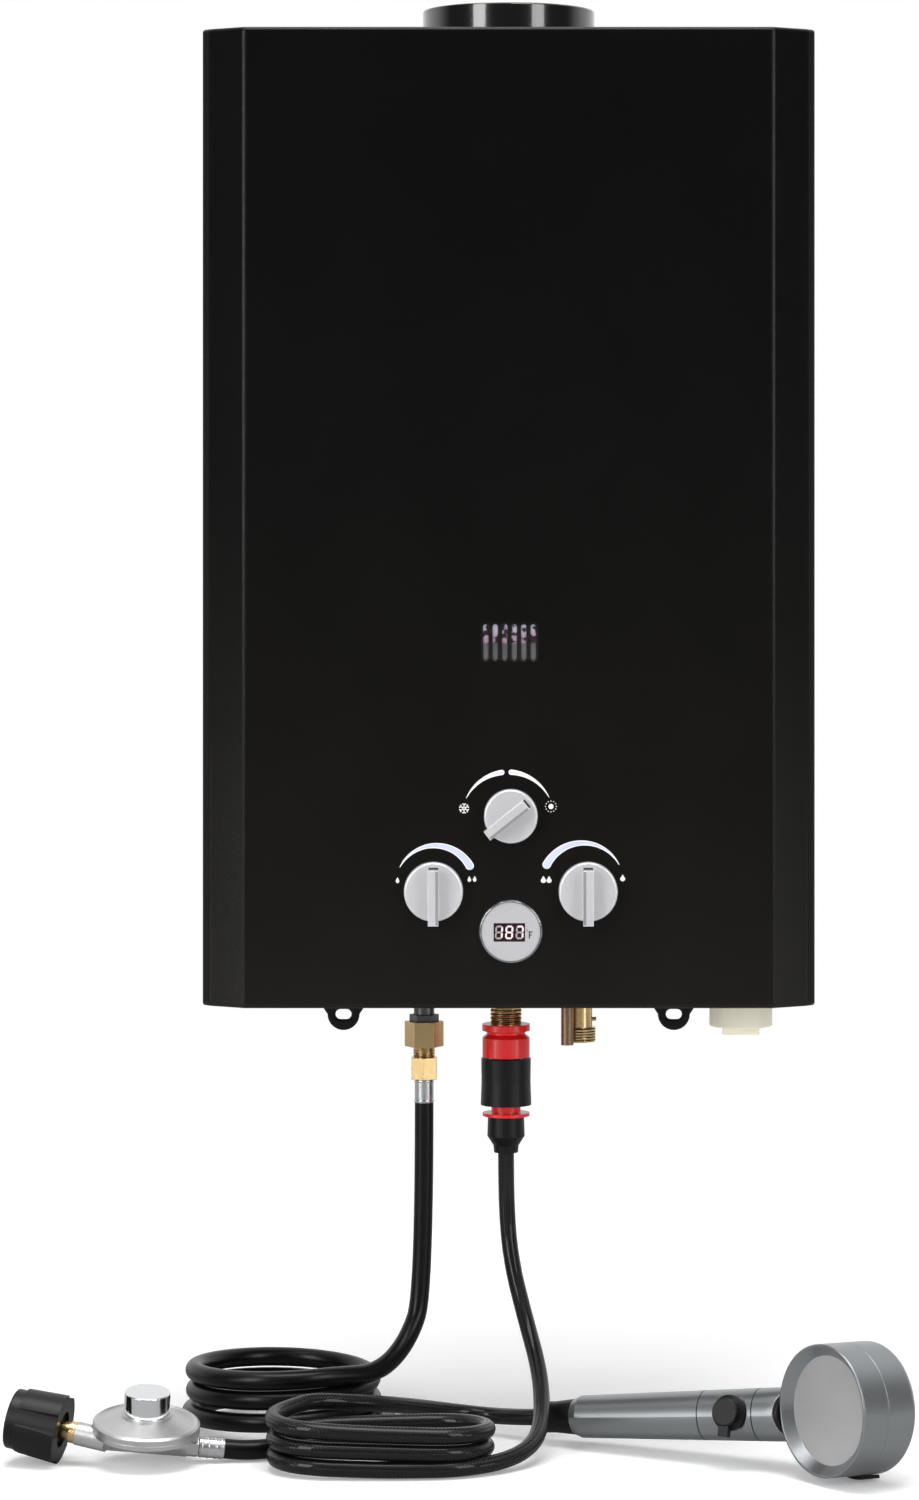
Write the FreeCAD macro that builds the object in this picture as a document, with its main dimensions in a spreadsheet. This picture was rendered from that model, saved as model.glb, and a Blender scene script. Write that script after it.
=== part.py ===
import FreeCAD, Part
import Sketcher

import math
import os
import re

Vector = FreeCAD.Vector

# A wall-hung outdoor propane water heater with its gas hose, regulator and hand shower.
# Frame: origin on the wall at the middle of the casing, +X right, +Z up, the front faces -Y.
# Every driving size is a cell of the sheet, in millimetres or degrees.
SIZES = {
    # casing
    "body_width": 380, "body_height": 606, "body_depth": 150,
    "side_run": 4.5, "chamfer_run": 22, "chamfer_depth": 13,
    "cover_wall": 1, "cover_edge_round": 2, "rear_gap": 1.5,
    "plate_wall": 1.2, "plate_flange": 14, "plate_flange_wall": 1, "plate_clearance": 0.4,
    "fold_width": 20,
    "ear_spacing": 215, "ear_radius": 10.4, "ear_drop": 20.2, "ear_root": 32,
    "slot_length": 10.4, "slot_width": 6.6,
    "hanger_width": 44, "hanger_height": 22, "hanger_hole_radius": 4.5, "hanger_hole_drop": 9,
    "screw_radius": 2, "screw_head_radius": 3.6, "screw_head_height": 2, "screw_inset": 26,
    "bottom_slot_left": 78, "bottom_slot_right": 62, "bottom_slot_front": 108,
    # flue and combustion
    "flue_radius": 54.5, "flue_height": 17.5, "flue_wall": 1.2, "flue_depth": 75,
    "flue_neck_step": 1, "flue_neck_wall": 1, "flue_fit": 0.3, "flue_lip": 1.6,
    "chamber_width": 210, "chamber_front": 130, "chamber_back": 20, "chamber_wall": 1,
    "chamber_bottom": -77, "chamber_top": 150, "hood_gap": 11,
    "strap_width": 30, "strap_height": 12,
    "fin_count": 20, "fin_wall": 0.8, "fin_bottom": 95, "fin_top": 145, "fin_margin": 2,
    "coil_tube_radius": 7.5, "coil_tube_height": 120, "coil_tube_pitch": 25,
    "pipe_radius": 6, "pipe_side_gap": 23, "pipe_end_gap": 4, "pipe_bend": 10.8,
    "cold_run_drop": 83, "hot_run_rise": 17,
    "burner_count": 12, "burner_width": 9, "burner_height": 34, "burner_sheet": 1,
    "manifold_width": 190, "manifold_depth": 18, "manifold_height": 42,
    "electrode_radius": 2.5, "electrode_length": 44, "electrode_spacing": 30,
    # controls
    "control_shift": 1.3, "season_rise": 119, "knob_row_rise": 72.5,
    "knob_spacing": 95.3, "display_rise": 47.6,
    "small_knob_radius": 16.6, "knob_radius": 18.2, "knob_skirt": 8, "knob_round": 1.5,
    "grip_width": 6.4, "grip_height": 9, "grip_overhang": 2, "grip_setback": 4.5,
    "knob_gap": 0.8, "knob_socket": 12, "season_turn": 51.6,
    "spindle_radius": 3, "spindle_fit": 0.05, "spindle_hole_radius": 5, "spindle_sink": 14,
    "bezel_radius": 19.7, "bezel_height": 3, "display_face_radius": 18.2,
    "display_can_radius": 16.5, "display_can_depth": 17, "display_fit": 0.1,
    "window_pitch": 5.86, "window_slot_width": 3.33, "window_slot_length": 22,
    "window_rise": 226.1, "window_margin": 6, "window_shift": -0.8, "window_wall": 0.5,
    "valve_front": 125, "valve_back": 45, "gas_valve_width": 64, "gas_valve_height": 46,
    "season_cock_width": 76, "season_cock_height": 34, "riser_radius": 9, "cock_rise": 8,
    "solenoid_radius": 12, "solenoid_length": 28,
    "water_valve_width": 53, "water_valve_height": 60,
    "diaphragm_radius": 22, "valve_gap": 0.3,
    "switch_width": 30, "switch_depth": 14, "switch_height": 18,
    "igniter_width": 60, "igniter_depth": 32, "igniter_height": 80,
    "igniter_inset": 72, "igniter_rise": 163,
    # battery box
    "battery_inset": 42.8, "battery_depth": 75, "cell_radius": 16.4, "cell_length": 61,
    "cell_fit": 0.3, "battery_wall": 1.6, "battery_flange_radius": 21,
    "cap_radius": 19.9, "cap_height": 16.4, "cap_gap": 0.3,
    "arm_width": 20, "arm_height": 16, "arm_drop": 40, "cell_tip_radius": 5, "cell_tip_height": 1.5,
    "cap_grip_width": 23, "cap_grip_wall": 8, "cap_grip_height": 5.4,
    # gas connection
    "fitting_depth": 65, "gas_right": -53.8, "gas_tube_radius": 6.5, "gas_tube_drop": 13,
    "gas_hex_flats": 16.2, "gas_hex_height": 4.3, "gas_nut_flats": 21.4, "gas_nut_height": 16,
    "adapter_radius": 6.6, "adapter_neck": 7, "adapter_fit": 0.05, "adapter_grip": 8,
    "hose_nut_flats": 16, "hose_nut_height": 13.8, "ferrule_radius": 5.95,
    "ferrule_length": 14.6, "gas_hose_radius": 6,
    # water connections
    "outlet_right": -1.7, "outlet_thread_radius": 9.5, "outlet_block_width": 26,
    "outlet_block_depth": 42, "outlet_block_rise": 28, "outlet_block_lift": 3,
    "outlet_thread_drop": 32, "outlet_bore_length": 40,
    "tap_drop": 19.1, "tap_flange_radius": 15.15, "tap_flange_height": 4.2,
    "tap_waist_radius": 12.3, "tap_body_radius": 15, "tap_body_drop": 25.3,
    "tap_bottom_drop": 39.9, "spigot_radius": 9, "spigot_drop": 49, "thread_fit": 0.05,
    "tap_bore_radius": 5, "collar_drop": 40.9, "collar_height": 29.5, "collar_radius": 16.1,
    "collar_waist": 0.5, "collar_bore_radius": 12, "collar_fit": 0.08,
    "core_neck_radius": 9.25, "core_flange_drop": 75.5, "core_flange_height": 2,
    "core_flange_radius": 14.9, "core_stub_drop": 88,
    "clamp_radius": 11.9, "clamp_drop": 77.8, "clamp_shoulder_drop": 90.3,
    "clamp_taper_drop": 96.3, "clamp_bottom_drop": 100.7, "clamp_tail_radius": 7.65,
    "inlet_right": 44.5, "inlet_neck_radius": 8.65, "inlet_thread_radius": 10.45,
    "inlet_thread_drop": 21, "inlet_thread_length": 9.1, "inlet_bore_radius": 7,
    "inlet_bore_reach": 12, "inlet_stud_drop": 16, "inlet_stud_radius": 1.2,
    "inlet_stud_reach": 11.2,
    "relief_right": 37.1, "relief_depth": 80, "relief_radius": 3.95, "relief_drop": 30.8,
    "water_hose_radius": 5.1,
    # hose coils on the ground
    "hanging_height": 273.8,
    "gas_coil_right": -143, "gas_coil_depth": 71, "gas_coil_half_width": 55.8,
    "gas_coil_half_depth": 55.3, "gas_coil_height": 47,
    "water_coil_right": -77.7, "water_coil_depth": 194, "water_coil_half_width": 62.8,
    "water_coil_half_depth": 30, "water_coil_height": 38.5,
    # regulator, measured along its ports from the hose's end
    "regulator_right": -174.3, "regulator_depth": 174, "regulator_lift": 7.4,
    "regulator_heading": 8.5, "regulator_rise": 6.5, "regulator_roll": 9.4,
    "port_ferrule_radius": 6.3, "port_ferrule_length": 15.4, "port_neck_radius": 5,
    "port_hex_start": 15.9, "port_hex_end": 22.6, "port_hex_flats": 11.8, "port_radius": 6.8,
    "disc_middle": 48, "disc_dip": 4.8, "disc_radius": 32.7,
    "disc_bottom": 6.5, "disc_joint": 9.3, "disc_top": 12.6, "lip_radius": 31, "lip_top": 13.8,
    "groove_radius": 29.6, "groove_bottom": 12.9, "dome_radius": 16.5, "dome_top": 17.4,
    "bead_radius": 15.4, "bead_top": 18.6, "bonnet_wall": 3, "bonnet_gap": 0.2,
    "casting_radius": 24, "casting_rise": 3.5, "casting_flat": 14, "casting_bottom": -1.5,
    "spring_cap_radius": 13.9, "spring_cap_top": 32.2, "spring_cap_wall": 1.2,
    "spring_cap_sink": 4.5, "spring_radius": 8, "spring_wire": 1.2,
    # regulator's inlet and cylinder nut, measured along the inlet from where it bends
    "inlet_bend": 77.3, "inlet_turn": 19.5, "inlet_pitch": 1.5,
    "socket_radius": 7.1, "socket_start": -6, "socket_end": 13.4,
    "nipple_radius": 5.5, "nipple_sink": 5, "shoulder_radius": 6.6, "shoulder_end": 17.5,
    "nipple_head_radius": 8, "nipple_head_length": 5, "nut_recess_gap": 1.2,
    "nut_start": 22.4, "nut_length": 32.6, "nut_core_radius": 19.2, "nut_grip_length": 25.5,
    "nut_grip_radius": 21.4, "nut_grip_taper": 1.6, "nut_bar_width": 19.8, "nut_bar_turn": 71,
    "nut_lip_radius": 18.2, "nut_lip_round": 1.2, "nut_dish_radius": 11, "nut_dish_depth": 2.2,
    "nut_bore_radius": 16.7, "nut_back_wall": 8, "nut_fit": 0.06,
    # hand shower, measured along its handle from the hose end
    "shower_right": 42, "shower_depth": 130.3, "shower_lift": 18,
    "shower_heading": -28, "shower_rise": 6.04, "shower_spin": -6.57,
    "head_lean": 25.39, "head_shift": -3.32, "head_gap": 2.4,
    "handle_length": 195.6, "handle_gap": 0.2, "handle_tip_radius": 11, "handle_end_run": 5,
    "handle_end_radius": 12.95, "handle_head_radius": 16.2, "handle_to_head": 56.7,
    "neck_joint_radius": 12,
    "connector_length": 20, "lead_straight": 19, "connector_radius": 11,
    "connector_taper": 14, "connector_tip_radius": 9.6,
    "valve_place": 112.9, "valve_turn": -7.8, "valve_lever_turn": -5,
    "valve_knob_radius": 10.8, "valve_face_radius": 8.4, "valve_room": 0.8,
    "valve_knob_height": 10, "valve_seat": 12.6, "valve_stem_radius": 4, "valve_stem_sink": 5,
    "valve_lever_length": 14.7, "valve_lever_width": 6.5, "valve_knob_round": 0.8,
    "head_radius": 39.4, "head_front": 33.8, "head_seam": 14.7, "head_rear": -8.1,
    "head_rear_round": 4, "head_wall": 2.5, "plate_radius": 32.4, "plate_sink": 5.8,
    "plate_thickness": 1.2, "tab_wall": 2.2, "tab_length": 14, "tab_arc": 26, "tab_gap": 0.3,
    "tab_place": -6.5,
}

FRONT = "(-body_depth)"
TOP = "(body_height / 2)"
BOTTOM = "(-body_height / 2)"
FLAT_HALF = "(body_width / 2 - side_run - chamfer_run)"
SEASON_HEIGHT = f"({BOTTOM} + season_rise)"
KNOB_ROW = f"({BOTTOM} + knob_row_rise)"
DISPLAY_HEIGHT = f"({BOTTOM} + display_rise)"
WINDOW_HEIGHT = f"({BOTTOM} + window_rise)"
HOOD_TOP = f"({TOP} - hood_gap)"
GROUND = f"({BOTTOM} - hanging_height)"
X_AXIS, Y_AXIS, Z_AXIS = Vector(1, 0, 0), Vector(0, 1, 0), Vector(0, 0, 1)

doc = FreeCAD.newDocument("water_heater")
sheet = doc.addObject("Spreadsheet::Sheet", "Sizes")
for row, (alias, value) in enumerate(SIZES.items(), start=1):
    sheet.set(f"A{row}", alias)
    sheet.set(f"B{row}", str(value))
    sheet.setAlias(f"B{row}", alias)
doc.recompute()


def linked(expression):
    """The expression with each size name pointed at its cell of the sheet."""
    def cell(word):
        return f"Sizes.{word[0]}" if word[0] in SIZES else word[0]
    return re.sub(r"[a-z_]+", cell, str(expression))


def value(expression):
    """The number that an expression of size names has now."""
    return float(sheet.evalExpression(linked(expression)))


def bind(item, **expressions):
    for name, expression in expressions.items():
        item.setExpression(name, linked(expression))
    return item


def place(item, at, turn=None):
    """Puts the item's origin at three expressions, turned by (axis, degrees)."""
    if turn:
        item.Placement = FreeCAD.Placement(Vector(), FreeCAD.Rotation(*turn))
    for letter, expression in zip("xyz", at):
        item.setExpression(f"Placement.Base.{letter}", linked(expression))
    return item


def box(name, low, size):
    item = doc.addObject("Part::Box", name)
    bind(item, Length=size[0], Width=size[1], Height=size[2])
    return place(item, low)


TURNS = {"x": (Y_AXIS, 90), "y": (X_AXIS, -90), "z": (Z_AXIS, 0)}


def rod(name, radius, at, length, along="z"):
    """A cylinder from a point, along +X, +Y or +Z."""
    item = doc.addObject("Part::Cylinder", name)
    bind(item, Radius=radius, Height=length)
    return place(item, at, TURNS[along])


def hexagon(name, flats, at, height, turned=0):
    """A hexagonal prism along +Z by its width across flats."""
    item = doc.addObject("Part::Prism", name)
    item.Polygon = 6
    bind(item, Circumradius=f"({flats}) / 2 / cos(30)", Height=height)
    return place(item, at, (Z_AXIS, turned))


def round_tool(name, radius, length, placement):
    """A cylinder along its own Z, set down by a placement."""
    item = doc.addObject("Part::Cylinder", name)
    bind(item, Radius=radius, Height=length)
    item.Placement = placement
    return item


def fused(name, *pieces):
    item = doc.addObject("Part::MultiFuse", name)
    item.Shapes = list(pieces)
    return item


def without(name, base, *tools):
    """The base with every tool cut away."""
    item = doc.addObject("Part::Cut", name)
    item.Base = base
    item.Tool = tools[0] if len(tools) == 1 else fused(name + "_tools", *tools)
    return item


def grouped(name, *pieces):
    """Alike or paired solids that share one node."""
    item = doc.addObject("Part::Compound", name)
    item.Links = list(pieces)
    return item


def sketch(body, name, plane, points, offset="0"):
    """A closed outline of straight edges, each corner bound to two expressions."""
    outline = body.newObject("Sketcher::SketchObject", name)
    origin = [item for item in body.Origin.OriginFeatures if item.Role == plane][0]
    outline.AttachmentSupport = [(origin, "")]
    outline.MapMode = "FlatFace"
    outline.setExpression("AttachmentOffset.Base.z", linked(offset))
    corners = [Vector(value(x), value(y), 0) for x, y in points]
    count = len(corners)
    for index in range(count):
        outline.addGeometry(Part.LineSegment(corners[index], corners[(index + 1) % count]))
    for index in range(count):
        joint = Sketcher.Constraint("Coincident", index, 2, (index + 1) % count, 1)
        outline.addConstraint(joint)
    for index, point in enumerate(points):
        for kind, expression in zip(("DistanceX", "DistanceY"), point):
            size = Sketcher.Constraint(kind, -1, 1, index, 1, value(expression))
            number = outline.addConstraint(size)
            outline.setExpression(f"Constraints[{number}]", linked(expression))
    return outline


def spun(name, points, degrees=360):
    """A body turned about Z from an outline of (radius, height) expressions."""
    body = doc.addObject("PartDesign::Body", name)
    turn = body.newObject("PartDesign::Revolution", name + "_turned")
    turn.Profile = sketch(body, name + "_outline", "XZ_Plane", points)
    turn.ReferenceAxis = (turn.Profile[0], ["V_Axis"])
    turn.Angle = degrees
    turn.Midplane = degrees < 360
    body.Tip = turn
    return body


def padded(name, points, height, plane="XY_Plane", offset="0"):
    """A body raised by height from an outline of expressions."""
    body = doc.addObject("PartDesign::Body", name)
    pad = body.newObject("PartDesign::Pad", name + "_raised")
    pad.Profile = sketch(body, name + "_outline", plane, points, offset)
    bind(pad, Length=height)
    body.Tip = pad
    return body


def rounded(body, name, radius, wanted):
    """Rounds the tip's edges that the test picks."""
    doc.recompute()
    base = body.Tip
    edges = [f"Edge{n}" for n, edge in enumerate(base.Shape.Edges, start=1) if wanted(edge)]
    fillet = body.newObject("PartDesign::Fillet", name)
    fillet.Base = (base, edges)
    bind(fillet, Radius=radius)
    body.Tip = fillet
    return body


def rim(radius, height):
    """Picks the full circle of that radius and height in a turned body."""
    def wanted(edge):
        curve = edge.Curve
        if curve.TypeId != "Part::GeomCircle":
            return False
        near = abs(curve.Radius - value(radius)) < 0.001
        return near and abs(curve.Center.z - value(height)) < 0.001
    return wanted


# ---- casing ---------------------------------------------------------------------------------

def cover_outline(inset):
    """The cover's plan: straight sides, angled corner bands and a flat front."""
    side = f"(body_width / 2 - {inset})"
    flat = f"({FLAT_HALF} - {inset} * 0.4)"
    band = f"({FLAT_HALF} + chamfer_run - {inset} * 0.8)"
    front = f"({FRONT} + {inset})"
    bend = f"({FRONT} + chamfer_depth + {inset} * 0.6)"
    edge = f"({FRONT} + chamfer_depth + side_run + {inset} * 0.6)"
    back = "(-rear_gap)"
    right = [(side, back), (side, edge), (band, bend), (flat, front)]
    left = [(f"-{x}", y) for x, y in reversed(right)]
    return right + left


def window_slots():
    """Six round-ended slots side by side in the cover's front."""
    slots = []
    for index in range(6):
        right = f"(control_shift + window_shift + ({index} - 2.5) * window_pitch)"
        end = "(window_slot_length / 2 - window_slot_width / 2)"
        depth = f"({FRONT} - cover_wall)"
        middle = box(f"window_slot_{index}",
                     (f"{right} - window_slot_width / 2", depth, f"{WINDOW_HEIGHT} - {end}"),
                     ("window_slot_width", "cover_wall * 3", f"{end} * 2"))
        ends = [rod(f"window_slot_{index}_{side}", "window_slot_width / 2",
                    (right, depth, f"{WINDOW_HEIGHT} + {end} * {side_sign}"),
                    "cover_wall * 3", "y")
                for side, side_sign in (("top", 1), ("foot", -1))]
        slots += [middle, *ends]
    return slots


def control_hole(name, radius, right, height):
    return rod(name, radius, (right, f"{FRONT} - cover_wall", height), "cover_wall * 3", "y")


SCREW_PLACES = [("left", -1), ("right", 1)]
SIDE_SCREW_RIGHT = "(body_width / 2 - screw_inset)"
GAS_KNOB_RIGHT = "(control_shift - knob_spacing / 2)"
WATER_KNOB_RIGHT = "(control_shift + knob_spacing / 2)"
BATTERY_RIGHT = "(body_width / 2 - battery_inset)"


def make_cover():
    outer = padded("cover_outside", cover_outline("0"), "body_height", offset=BOTTOM)

    def is_top_or_bottom_front(edge):
        low, high = edge.BoundBox.ZMin, edge.BoundBox.ZMax
        level = high - low < 0.001 and abs(abs(low) - value(TOP)) < 0.001
        return level and edge.BoundBox.YMin < value("-rear_gap") - 1
    rounded(outer, "cover_edges", "cover_edge_round", is_top_or_bottom_front)
    inner_back = cover_outline("cover_wall")
    inner_back[0] = (inner_back[0][0], "1")
    inner_back[-1] = (inner_back[-1][0], "1")
    inner = padded("cover_inside", inner_back, "body_height - cover_wall * 2",
                   offset=f"{BOTTOM} + cover_wall")
    flue = rod("cover_flue_hole", "flue_radius - flue_neck_step + flue_fit",
               ("0", "-flue_depth", f"{TOP} - cover_wall * 2"), "cover_wall * 3")
    slot = box("cover_bottom_slot",
               ("-bottom_slot_left", "-bottom_slot_front", f"{BOTTOM} - cover_wall"),
               ("bottom_slot_left + bottom_slot_right", "bottom_slot_front", "cover_wall * 3"))
    battery_half = "(cell_radius + cell_fit + battery_wall + cap_gap)"
    battery = box("cover_battery_slot",
                  (f"{BATTERY_RIGHT} - {battery_half}", f"-battery_depth - {battery_half}",
                   f"{BOTTOM} - cover_wall"),
                  (f"{battery_half} * 2", f"battery_depth + {battery_half}",
                   "cover_wall * 3"))
    holes = [
        control_hole("season_hole", "spindle_hole_radius", "control_shift", SEASON_HEIGHT),
        control_hole("gas_hole", "spindle_hole_radius", GAS_KNOB_RIGHT, KNOB_ROW),
        control_hole("water_hole", "spindle_hole_radius", WATER_KNOB_RIGHT, KNOB_ROW),
        control_hole("display_hole", "display_can_radius + display_fit", "control_shift",
                     DISPLAY_HEIGHT),
    ]
    screws = []
    for side, sign in SCREW_PLACES:
        for end, level in (("top", TOP), ("bottom", BOTTOM)):
            screws.append(rod(f"cover_screw_hole_{side}_{end}", "screw_radius",
                              (f"{SIDE_SCREW_RIGHT} * {sign}", "-plate_flange / 2 - rear_gap",
                               f"{level} - cover_wall * 2"), "cover_wall * 4"))
    return without("front_cover", outer, inner, flue, slot, battery, *holes, *screws,
                   *window_slots())


PLATE_HALF = "(body_width / 2 - cover_wall - plate_clearance)"
PLATE_TOP = f"({TOP} - cover_wall - plate_clearance)"
EAR_HEIGHT = f"({BOTTOM} - ear_drop)"


def make_back_plate():
    """Flat plate with four folded flanges, two slotted ears below and a hanging lug above."""
    sheet_part = box("plate_sheet", (f"-{PLATE_HALF}", "-plate_wall", f"-{PLATE_TOP}"),
                     (f"{PLATE_HALF} * 2", "plate_wall", f"{PLATE_TOP} * 2"))
    flanges = []
    for side, left in (("left", f"-{PLATE_HALF}"),
                       ("right", f"({PLATE_HALF} - plate_flange_wall)")):
        flanges.append(box(f"plate_flange_{side}", (left, "-plate_flange", f"-{PLATE_TOP}"),
                           ("plate_flange_wall", "plate_flange", f"{PLATE_TOP} * 2")))
    for end, foot in (("top", f"({PLATE_TOP} - plate_flange_wall)"),
                      ("bottom", f"-{PLATE_TOP}")):
        for side, sign in SCREW_PLACES:
            flanges.append(box(f"plate_tab_{end}_{side}",
                               (f"{SIDE_SCREW_RIGHT} * {sign} - fold_width / 2", "-plate_flange",
                                foot),
                               ("fold_width", "plate_flange", "plate_flange_wall")))
    hanger = box("plate_hanger", ("-hanger_width / 2", "-plate_wall", PLATE_TOP),
                 ("hanger_width", "plate_wall",
                  f"hanger_height + {TOP} - {PLATE_TOP}"))
    hanger_hole = rod("plate_hanger_hole", "hanger_hole_radius",
                      ("0", "-plate_wall * 2", f"{TOP} + hanger_height - hanger_hole_drop"),
                      "plate_wall * 3", "y")
    ears, slots = [], []
    for side, sign in SCREW_PLACES:
        middle = f"(ear_spacing / 2 * {sign})"
        root = f"(-{PLATE_TOP} + ear_radius)"
        lug = padded(f"plate_ear_{side}",
                     [(f"{middle} - ear_root", root), (f"{middle} - ear_radius", EAR_HEIGHT),
                      (f"{middle} + ear_radius", EAR_HEIGHT), (f"{middle} + ear_root", root)],
                     "plate_wall", plane="XZ_Plane")
        tip = rod(f"plate_ear_tip_{side}", "ear_radius",
                  (middle, "-plate_wall", EAR_HEIGHT), "plate_wall", "y")
        ears += [lug, tip]
        end = "(slot_length / 2 - slot_width / 2)"
        slots.append(box(f"ear_slot_{side}",
                         (f"{middle} - {end}", "-plate_wall * 2",
                          f"{EAR_HEIGHT} - slot_width / 2"),
                         (f"{end} * 2", "plate_wall * 3", "slot_width")))
        for tag, shift in (("a", -1), ("b", 1)):
            slots.append(rod(f"ear_slot_{side}_{tag}", "slot_width / 2",
                             (f"{middle} + {end} * {shift}", "-plate_wall * 2", EAR_HEIGHT),
                             "plate_wall * 3", "y"))
    holes = [rod(f"plate_tab_hole_{side}", "screw_radius",
                 (f"{SIDE_SCREW_RIGHT} * {sign}", "-plate_flange / 2 - rear_gap",
                  f"{BOTTOM} - cover_wall"), "body_height + cover_wall * 2")
             for side, sign in SCREW_PLACES]
    solid = fused("plate_solid", sheet_part, *flanges, hanger, *ears)
    return without("back_plate", solid, hanger_hole, *slots, *holes)


def make_cover_screws():
    screws = []
    for side, sign in SCREW_PLACES:
        right = f"({SIDE_SCREW_RIGHT} * {sign})"
        depth = "(-plate_flange / 2 - rear_gap)"
        reach = "(cover_wall + plate_clearance + plate_flange_wall + 2)"
        top = fused(f"cover_screw_top_{side}",
                    rod(f"screw_shank_top_{side}", "screw_radius",
                        (right, depth, f"{TOP} - {reach}"), reach),
                    rod(f"screw_head_top_{side}", "screw_head_radius", (right, depth, TOP),
                        "screw_head_height"))
        foot = fused(f"cover_screw_bottom_{side}",
                     rod(f"screw_shank_bottom_{side}", "screw_radius",
                         (right, depth, BOTTOM), reach),
                     rod(f"screw_head_bottom_{side}", "screw_head_radius",
                         (right, depth, f"{BOTTOM} - screw_head_height"),
                         "screw_head_height"))
        screws += [top, foot]
    return grouped("cover_screws", *screws)


def make_window():
    half = "(window_pitch * 3 + window_margin)"
    tall = "(window_slot_length + window_margin * 2)"
    return box("inspection_window",
               (f"control_shift + window_shift - {half}", f"{FRONT} + cover_wall",
                f"{WINDOW_HEIGHT} - {tall} / 2"),
               (f"{half} * 2", "window_wall", tall))


# ---- flue, heat exchanger and burner --------------------------------------------------------

CHAMBER_LEFT = "(-chamber_width / 2)"
CHAMBER_DEPTH = "(chamber_front - chamber_back)"


def make_exchanger_shell():
    """Open copper box over the burner, held to the back plate by two straps."""
    tall = "(chamber_top - chamber_bottom)"
    outer = box("shell_outside", (CHAMBER_LEFT, "-chamber_front", "chamber_bottom"),
                ("chamber_width", CHAMBER_DEPTH, tall))
    inner = box("shell_inside",
                (f"{CHAMBER_LEFT} + chamber_wall", "-chamber_front + chamber_wall",
                 "chamber_bottom - 1"),
                ("chamber_width - chamber_wall * 2", f"{CHAMBER_DEPTH} - chamber_wall * 2",
                 f"{tall} + 2"))
    tubes = [rod(f"shell_tube_hole_{index}", "coil_tube_radius",
                 (f"{CHAMBER_LEFT} - 1", tube_depth(index), "coil_tube_height"),
                 "chamber_width + 2", "x") for index in range(3)]
    straps = [box(f"shell_strap_{side}",
                  (f"({CHAMBER_LEFT} + strap_width) * {sign} - strap_width / 2",
                   "-chamber_back", "chamber_bottom + strap_height"),
                  ("strap_width", "chamber_back - plate_wall", "strap_height"))
              for side, sign in (("left", 1), ("right", -1))]
    return fused("exchanger_shell", without("shell_wall", outer, inner, *tubes), *straps)


def tube_depth(index):
    """Depth of one of the three tube passes, back pass first."""
    return f"(-flue_depth - ({index} - 1) * -coil_tube_pitch)"


def make_fins():
    """A row of thin plates, threaded by the three tube passes."""
    tubes = [rod(f"fin_tube_hole_{index}", "coil_tube_radius",
                 (CHAMBER_LEFT, tube_depth(index), "coil_tube_height"), "chamber_width", "x")
             for index in range(3)]
    span = "(chamber_width - chamber_wall * 2 - fin_margin * 2 - fin_wall)"
    plates = [box(f"fin_plate_{index}",
                  (f"{CHAMBER_LEFT} + chamber_wall + fin_margin"
                   f" + {span} * {index} / (fin_count - 1)",
                   "-chamber_front + chamber_wall", "fin_bottom"),
                  ("fin_wall", f"{CHAMBER_DEPTH} - chamber_wall * 2",
                   "fin_top - fin_bottom"))
              for index in range(int(value("fin_count")))]
    return without("exchanger_fins", fused("fin_plates", *plates), *tubes)


def path_points(points):
    return [Vector(*(value(part) for part in point)) for point in points]


def route_radius(before, corner, after):
    """The largest arc that a corner's two runs allow: 0.45 of the shorter run."""
    first, second = corner - before, after - corner
    half = first.getAngle(second) / 2
    return 0.45 * min(first.Length, second.Length) / math.tan(half)


def route_wire(points, radius=None):
    """Straight runs joined by tangent arcs, and the arcs' radii."""
    edges, radii = [], []
    start = points[0]
    for before, corner, after in zip(points, points[1:], points[2:]):
        arc_radius = radius or route_radius(before, corner, after)
        first = (corner - before).normalize()
        second = (after - corner).normalize()
        half = first.getAngle(second) / 2
        reach = arc_radius * math.tan(half)
        enter, leave = corner - first * reach, corner + second * reach
        towards = (second - first).normalize()
        middle = corner + towards * (arc_radius / math.cos(half) - arc_radius)
        edges.append(Part.LineSegment(start, enter).toShape())
        edges.append(Part.Arc(enter, middle, leave).toShape())
        radii.append(arc_radius)
        start = leave
    edges.append(Part.LineSegment(start, points[-1]).toShape())
    return Part.Wire(edges), radii


def tube(name, points, radius, bend=None):
    """A round bar swept along the route; the shape is set directly, then its place."""
    wire, radii = route_wire(points, bend)
    ring = Part.Circle(points[0], points[1] - points[0], radius).toShape()
    solid = wire.makePipeShell([Part.Wire([ring])], True, True)
    item = doc.addObject("Part::Feature", name)
    item.Shape = solid
    item.Placement = FreeCAD.Placement()
    wanted = math.pi * radius ** 2 * wire.Length
    if abs(solid.Volume / wanted - 1) > 0.01:
        raise RuntimeError(f"{name} has volume {solid.Volume:.0f}, not {wanted:.0f}")
    return item, wire.Length, radii


def make_exchanger_tubes():
    """Three straight passes joined by two return bends, with a stub at each end."""
    reach = "(chamber_width / 2 + pipe_end_gap)"
    passes = [rod(f"tube_pass_{index}", "coil_tube_radius",
                  (f"-{reach}", tube_depth(index), "coil_tube_height"), f"{reach} * 2", "x")
              for index in range(3)]
    bends = []
    for index, (side, first) in enumerate((("right", 1), ("left", 0))):
        bend = doc.addObject("Part::Torus", f"tube_bend_{side}")
        bind(bend, Radius1="coil_tube_pitch / 2", Radius2="coil_tube_radius")
        bend.Angle3 = 180
        sign = 1 if side == "right" else -1
        middle = f"({tube_depth(first)} + {tube_depth(first + 1)}) / 2"
        bends.append(place(bend, (f"{reach} * {sign}", middle, "coil_tube_height"),
                           (Z_AXIS, -90 * sign)))
    return fused("exchanger_tubes", *passes, *bends)


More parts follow.
